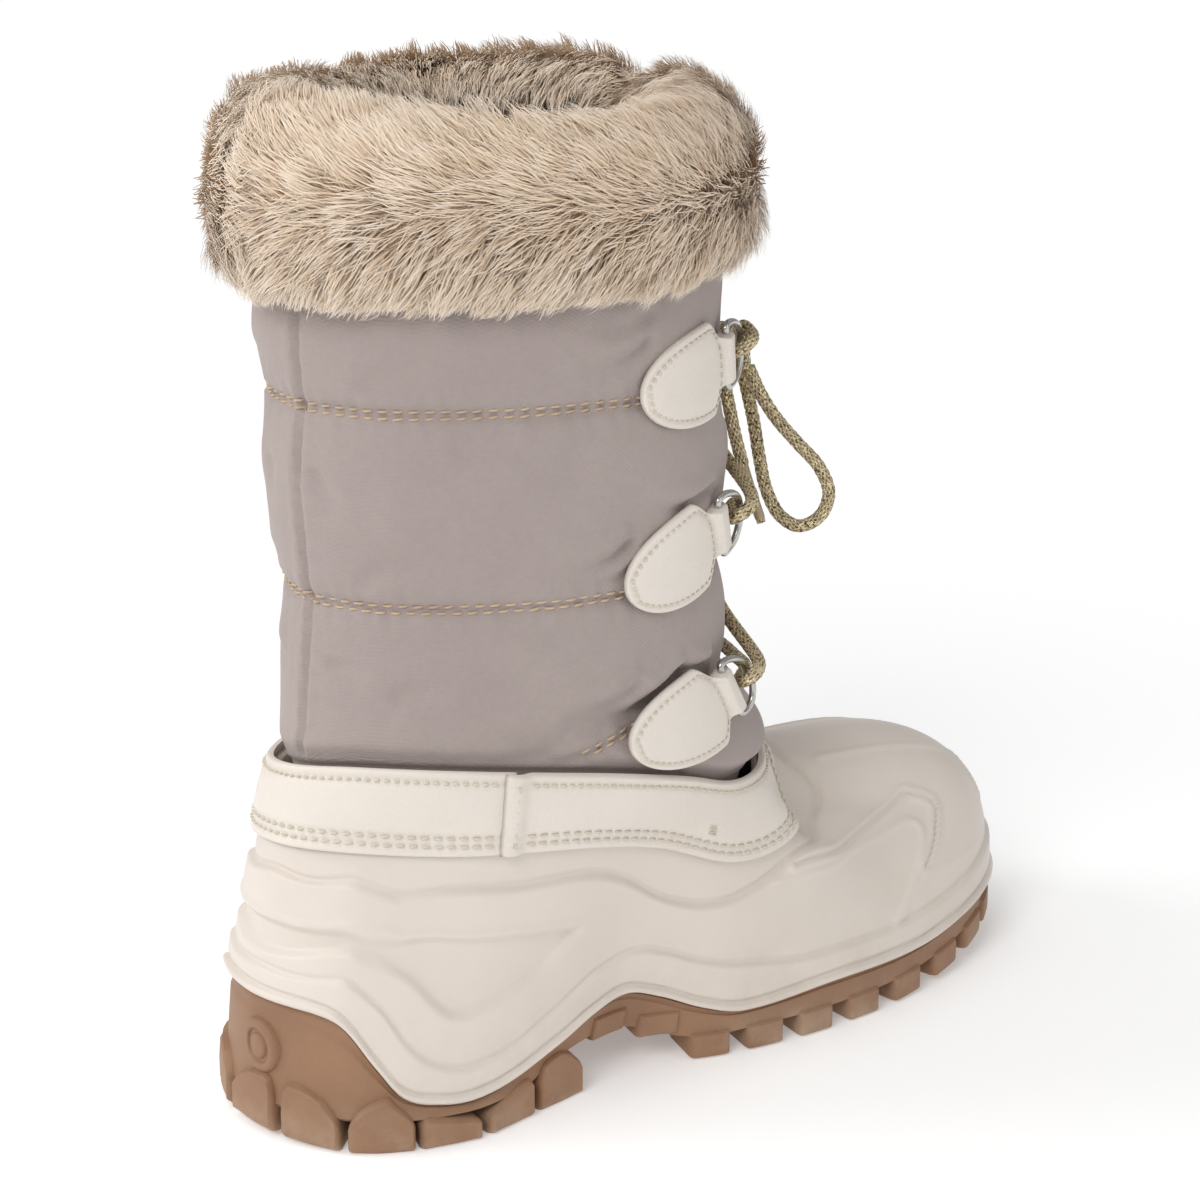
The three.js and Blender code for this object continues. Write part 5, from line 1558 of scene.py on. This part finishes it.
# The fur cuff: a soft core, then strands that fan out from a parting.
fur = {
    "frontLift": 5.0, "split": 7.0,
    "section": ((3.6, 249), (9, 251), (12, 261), (12, 279), (9, 292), (2, 300), (-6, 301), (-13, 296), (-16.5, 285),
                (-16.5, 270), (-13, 264), (-4, 262.2), (3.6, 262.2)),
    "core": (-2, 281), "coreShrink": 0.86, "dip": 6.0, "length": 14.0, "width": 0.31,
    "piles": 3, "pileStrands": 26000, "insideStrands": 15000,
}


def furPlace(angle, s, grow=1.0):
    # A point of the cuff: s runs round its section, 0 at the outer bottom edge.
    section = np.array(fur["section"], float)
    loop = np.concatenate([section[-2:], section, section[:3]])
    n = len(section)
    at = s % 1 * n
    i = np.floor(at).astype(int)
    t = (at - i)[..., None]
    a, b, c, d = (loop[i + 1 + k] for k in range(4))
    p = b + 0.5 * t * (c - a + t * (2 * a - 5 * b + 4 * c - d + t * (3 * (b - c) + d - a)))
    ends = np.minimum(angle - fur["split"], 360 - fur["split"] - angle)
    round01 = np.clip(ends / 9, 0, 1)
    full = (0.62 + 0.38 * np.sqrt(np.clip(1 - (1 - round01) ** 2, 0, 1))) * grow
    out = fur["core"][0] + (p[..., 0] - fur["core"][0]) * full
    z = fur["core"][1] + (p[..., 1] - fur["core"][1]) * full
    lift = fur["frontLift"] * (0.5 + 0.5 * np.cos(np.radians(angle))) ** 2 * smooth(263, 255, p[..., 1])
    side = np.abs(np.sin(np.radians(angle))) ** 2 * np.where(np.sin(np.radians(angle)) < 0, 1.0, 0.4)
    lift = lift - fur["dip"] * side * smooth(272, 296, p[..., 1])
    return legPoint(angle, z, out) + lift[..., None] * np.array([0, 0, 1.0])


def addFurCore():
    rounded = 9 * (1 - np.cos(np.linspace(0, np.pi / 2, 7)))[:-1]
    middle = np.linspace(fur["split"] + 9, 351 - fur["split"], 150)
    angle = np.concatenate([fur["split"] + rounded, middle, 360 - fur["split"] - rounded[::-1]])
    s = np.arange(60) / 60
    grid = furPlace(*np.meshgrid(angle, s, indexing="ij"), fur["coreShrink"])
    grid = grid + 0.5 * waves(grid, 9, 6)[..., None] * np.array([0.6, 0.6, 0.8])
    piece = makeCapped("fur_cuff_core", grid, "furSkin", "fur", ("fur_collar",))


def furFlow(angle, s, z, ahead, up):
    # The way the pile lies: ahead runs towards the front on the outer side, up climbs the section.
    away = np.abs((angle + 180) % 360 - 180)
    outer = smooth(0.50, 0.42, s)
    part = 277 + 1.5 * np.sin(away / 17.0)
    rise = np.clip((z - part) / 12, -1.6, 1.6)
    sharp = smooth(105, 55, away)
    climb = np.where(rise > 0, 1, -1) * np.abs(rise) ** (0.75 - 0.45 * sharp)
    back = 1.0 - 0.62 * sharp
    back = back * (1 - 0.65 * smooth(165, 176, away)) + 0.25 * smooth(160, 175, away)
    swirl = smooth(24, 12, away)
    flow = up * (climb * outer + (1 - outer) * smooth(0.86, 0.6, s) - 0.4 * smooth(0.6, 0.86, s))[..., None]
    side = np.where(np.sin(np.radians(angle)) > 0, 1.0, -1.0)
    flow = flow + ahead * (side * back * (1 - 1.5 * swirl) * (0.35 + 0.65 * outer))[..., None]
    return unit(flow)


def addFurStrands(name, count, insideOnly, material, seed):
    local = np.random.default_rng(seed)
    perClump = 20
    clumps = count // perClump
    clumpS = local.uniform(*((0.50, 0.86) if insideOnly else (0.015, 0.53)), clumps)
    clumpA = local.uniform(fur["split"] + 0.3, 360 - fur["split"] - 0.3, clumps)
    index = np.repeat(np.arange(clumps), perClump)
    n = len(index)
    s = (clumpS[index] + local.normal(0, 0.017, n)) % 1
    angle = np.clip(clumpA[index] + local.normal(0, 1.9, n), fur["split"] + 0.1, 360 - fur["split"] - 0.1)

    def frameAt(angle, s):
        p = furPlace(angle, s, 0.87)
        up = unit(furPlace(angle, s + 0.004, 0.87) - furPlace(angle, s - 0.004, 0.87))
        low, high = np.clip(angle - 0.6, fur["split"], None), np.clip(angle + 0.6, None, 360 - fur["split"])
        ahead = unit(furPlace(high, s, 0.87) - furPlace(low, s, 0.87))
        return p, ahead, up, unit(np.cross(ahead, up))

    root, ahead, up, normal = frameAt(angle, s)
    centre = furPlace(angle, s, 0.0)
    normal = normal * np.sign(np.einsum("ij,ij->i", normal, root - centre))[:, None]
    flow = furFlow(angle, s, root[:, 2], ahead, up)
    gRoot, gAhead, gUp, gNormal = frameAt(clumpA, clumpS)
    gNormal = gNormal * np.sign(np.einsum("ij,ij->i", gNormal, gRoot - furPlace(clumpA, clumpS, 0.0)))[:, None]
    gFlow = furFlow(clumpA, clumpS, gRoot[:, 2], gAhead, gUp)
    gFlow = unit(gFlow + 0.22 * local.normal(size=gFlow.shape))
    size = fur["length"] * (0.72 if insideOnly else 1.0)
    gLength = size * local.uniform(0.75, 1.15, clumps)
    gLift = local.uniform(0.12, 0.36, clumps)
    gLength = gLength * (1 - 0.5 * smooth(0.16, 0.02, (clumpS + 0.1) % 1 - 0.1))
    gTip = gRoot + (gFlow * (1 - gLift[:, None] * 0.5) + gNormal * gLift[:, None]) * gLength[:, None]
    hug = local.uniform(0.45, 0.8, n)[:, None]
    length = gLength[index] * local.uniform(0.7, 1.12, n)
    lift = gLift[index] + local.normal(0, 0.06, n)
    reach = (flow * (1 - lift[:, None] * 0.5) + normal * lift[:, None]) * length[:, None]
    own = root + reach + local.normal(0, 0.5, (n, 3))
    tip = own * (1 - hug) + (gTip[index] + (root - gRoot[index]) * 0.35) * hug
    droop = np.where(root[:, 2:3] < 270, -0.5, 0.1) * np.array([0, 0, 1.0])
    tip = tip + droop * smooth(0.4, 0.2, s)[:, None]
    bend = root + (tip - root) * 0.42 + normal * (0.20 * length)[:, None] + local.normal(0, 0.35, (n, 3))
    far = root + (tip - root) * 0.76 + normal * (0.13 * length)[:, None] + local.normal(0, 0.3, (n, 3))
    turnBy = unit(np.cross(tip - root, normal) + 0.55 * local.normal(size=(n, 3)))
    width = fur["width"] * local.uniform(0.75, 1.3, n)[:, None]
    rows = [place + sign * turnBy * width * share
            for place, share in ((root, 0.5), (bend, 0.5), (far, 0.32)) for sign in (-1, 1)]
    points = np.stack(rows + [tip], axis=1)
    base = (np.arange(n) * 7)[:, None]
    quads = np.concatenate([base + np.array([0, 1, 3, 2]), base + np.array([2, 3, 5, 4])])
    tris = base + np.array([4, 5, 6])
    shade = np.clip(local.uniform(0, 0.75, clumps)[index] + local.normal(0, 0.16, n), 0, 1)
    heights = np.broadcast_to(np.array([0, 0, .42, .42, .76, .76, 1.0]), (n, 7))
    uv = np.stack([np.repeat(shade[:, None], 7, axis=1), heights], axis=-1)
    piece = makePiece(name, points.reshape(-1, 3), [quads, tris], material, "fur", uv=uv.reshape(-1, 2), closed=False)
    # The pile takes its light from the cuff's own roundness.
    lit = unit(normal + 0.35 * unit(tip - root) + 0.18 * local.normal(size=(n, 3)))
    piece.data.normals_split_custom_set_from_vertices(np.repeat(lit, 7, axis=0).tolist())


addFurCore()
for k in range(fur["piles"]):
    addFurStrands("fur_pile_%d" % (k + 1), fur["pileStrands"], False, "fur", 40 + k)
# The inside pile wears the darker fur, painted shade for the inner side of the cuff.
addFurStrands("fur_pile_inside", fur["insideStrands"], True, "shadedFurInside", 60)
print("fur done")
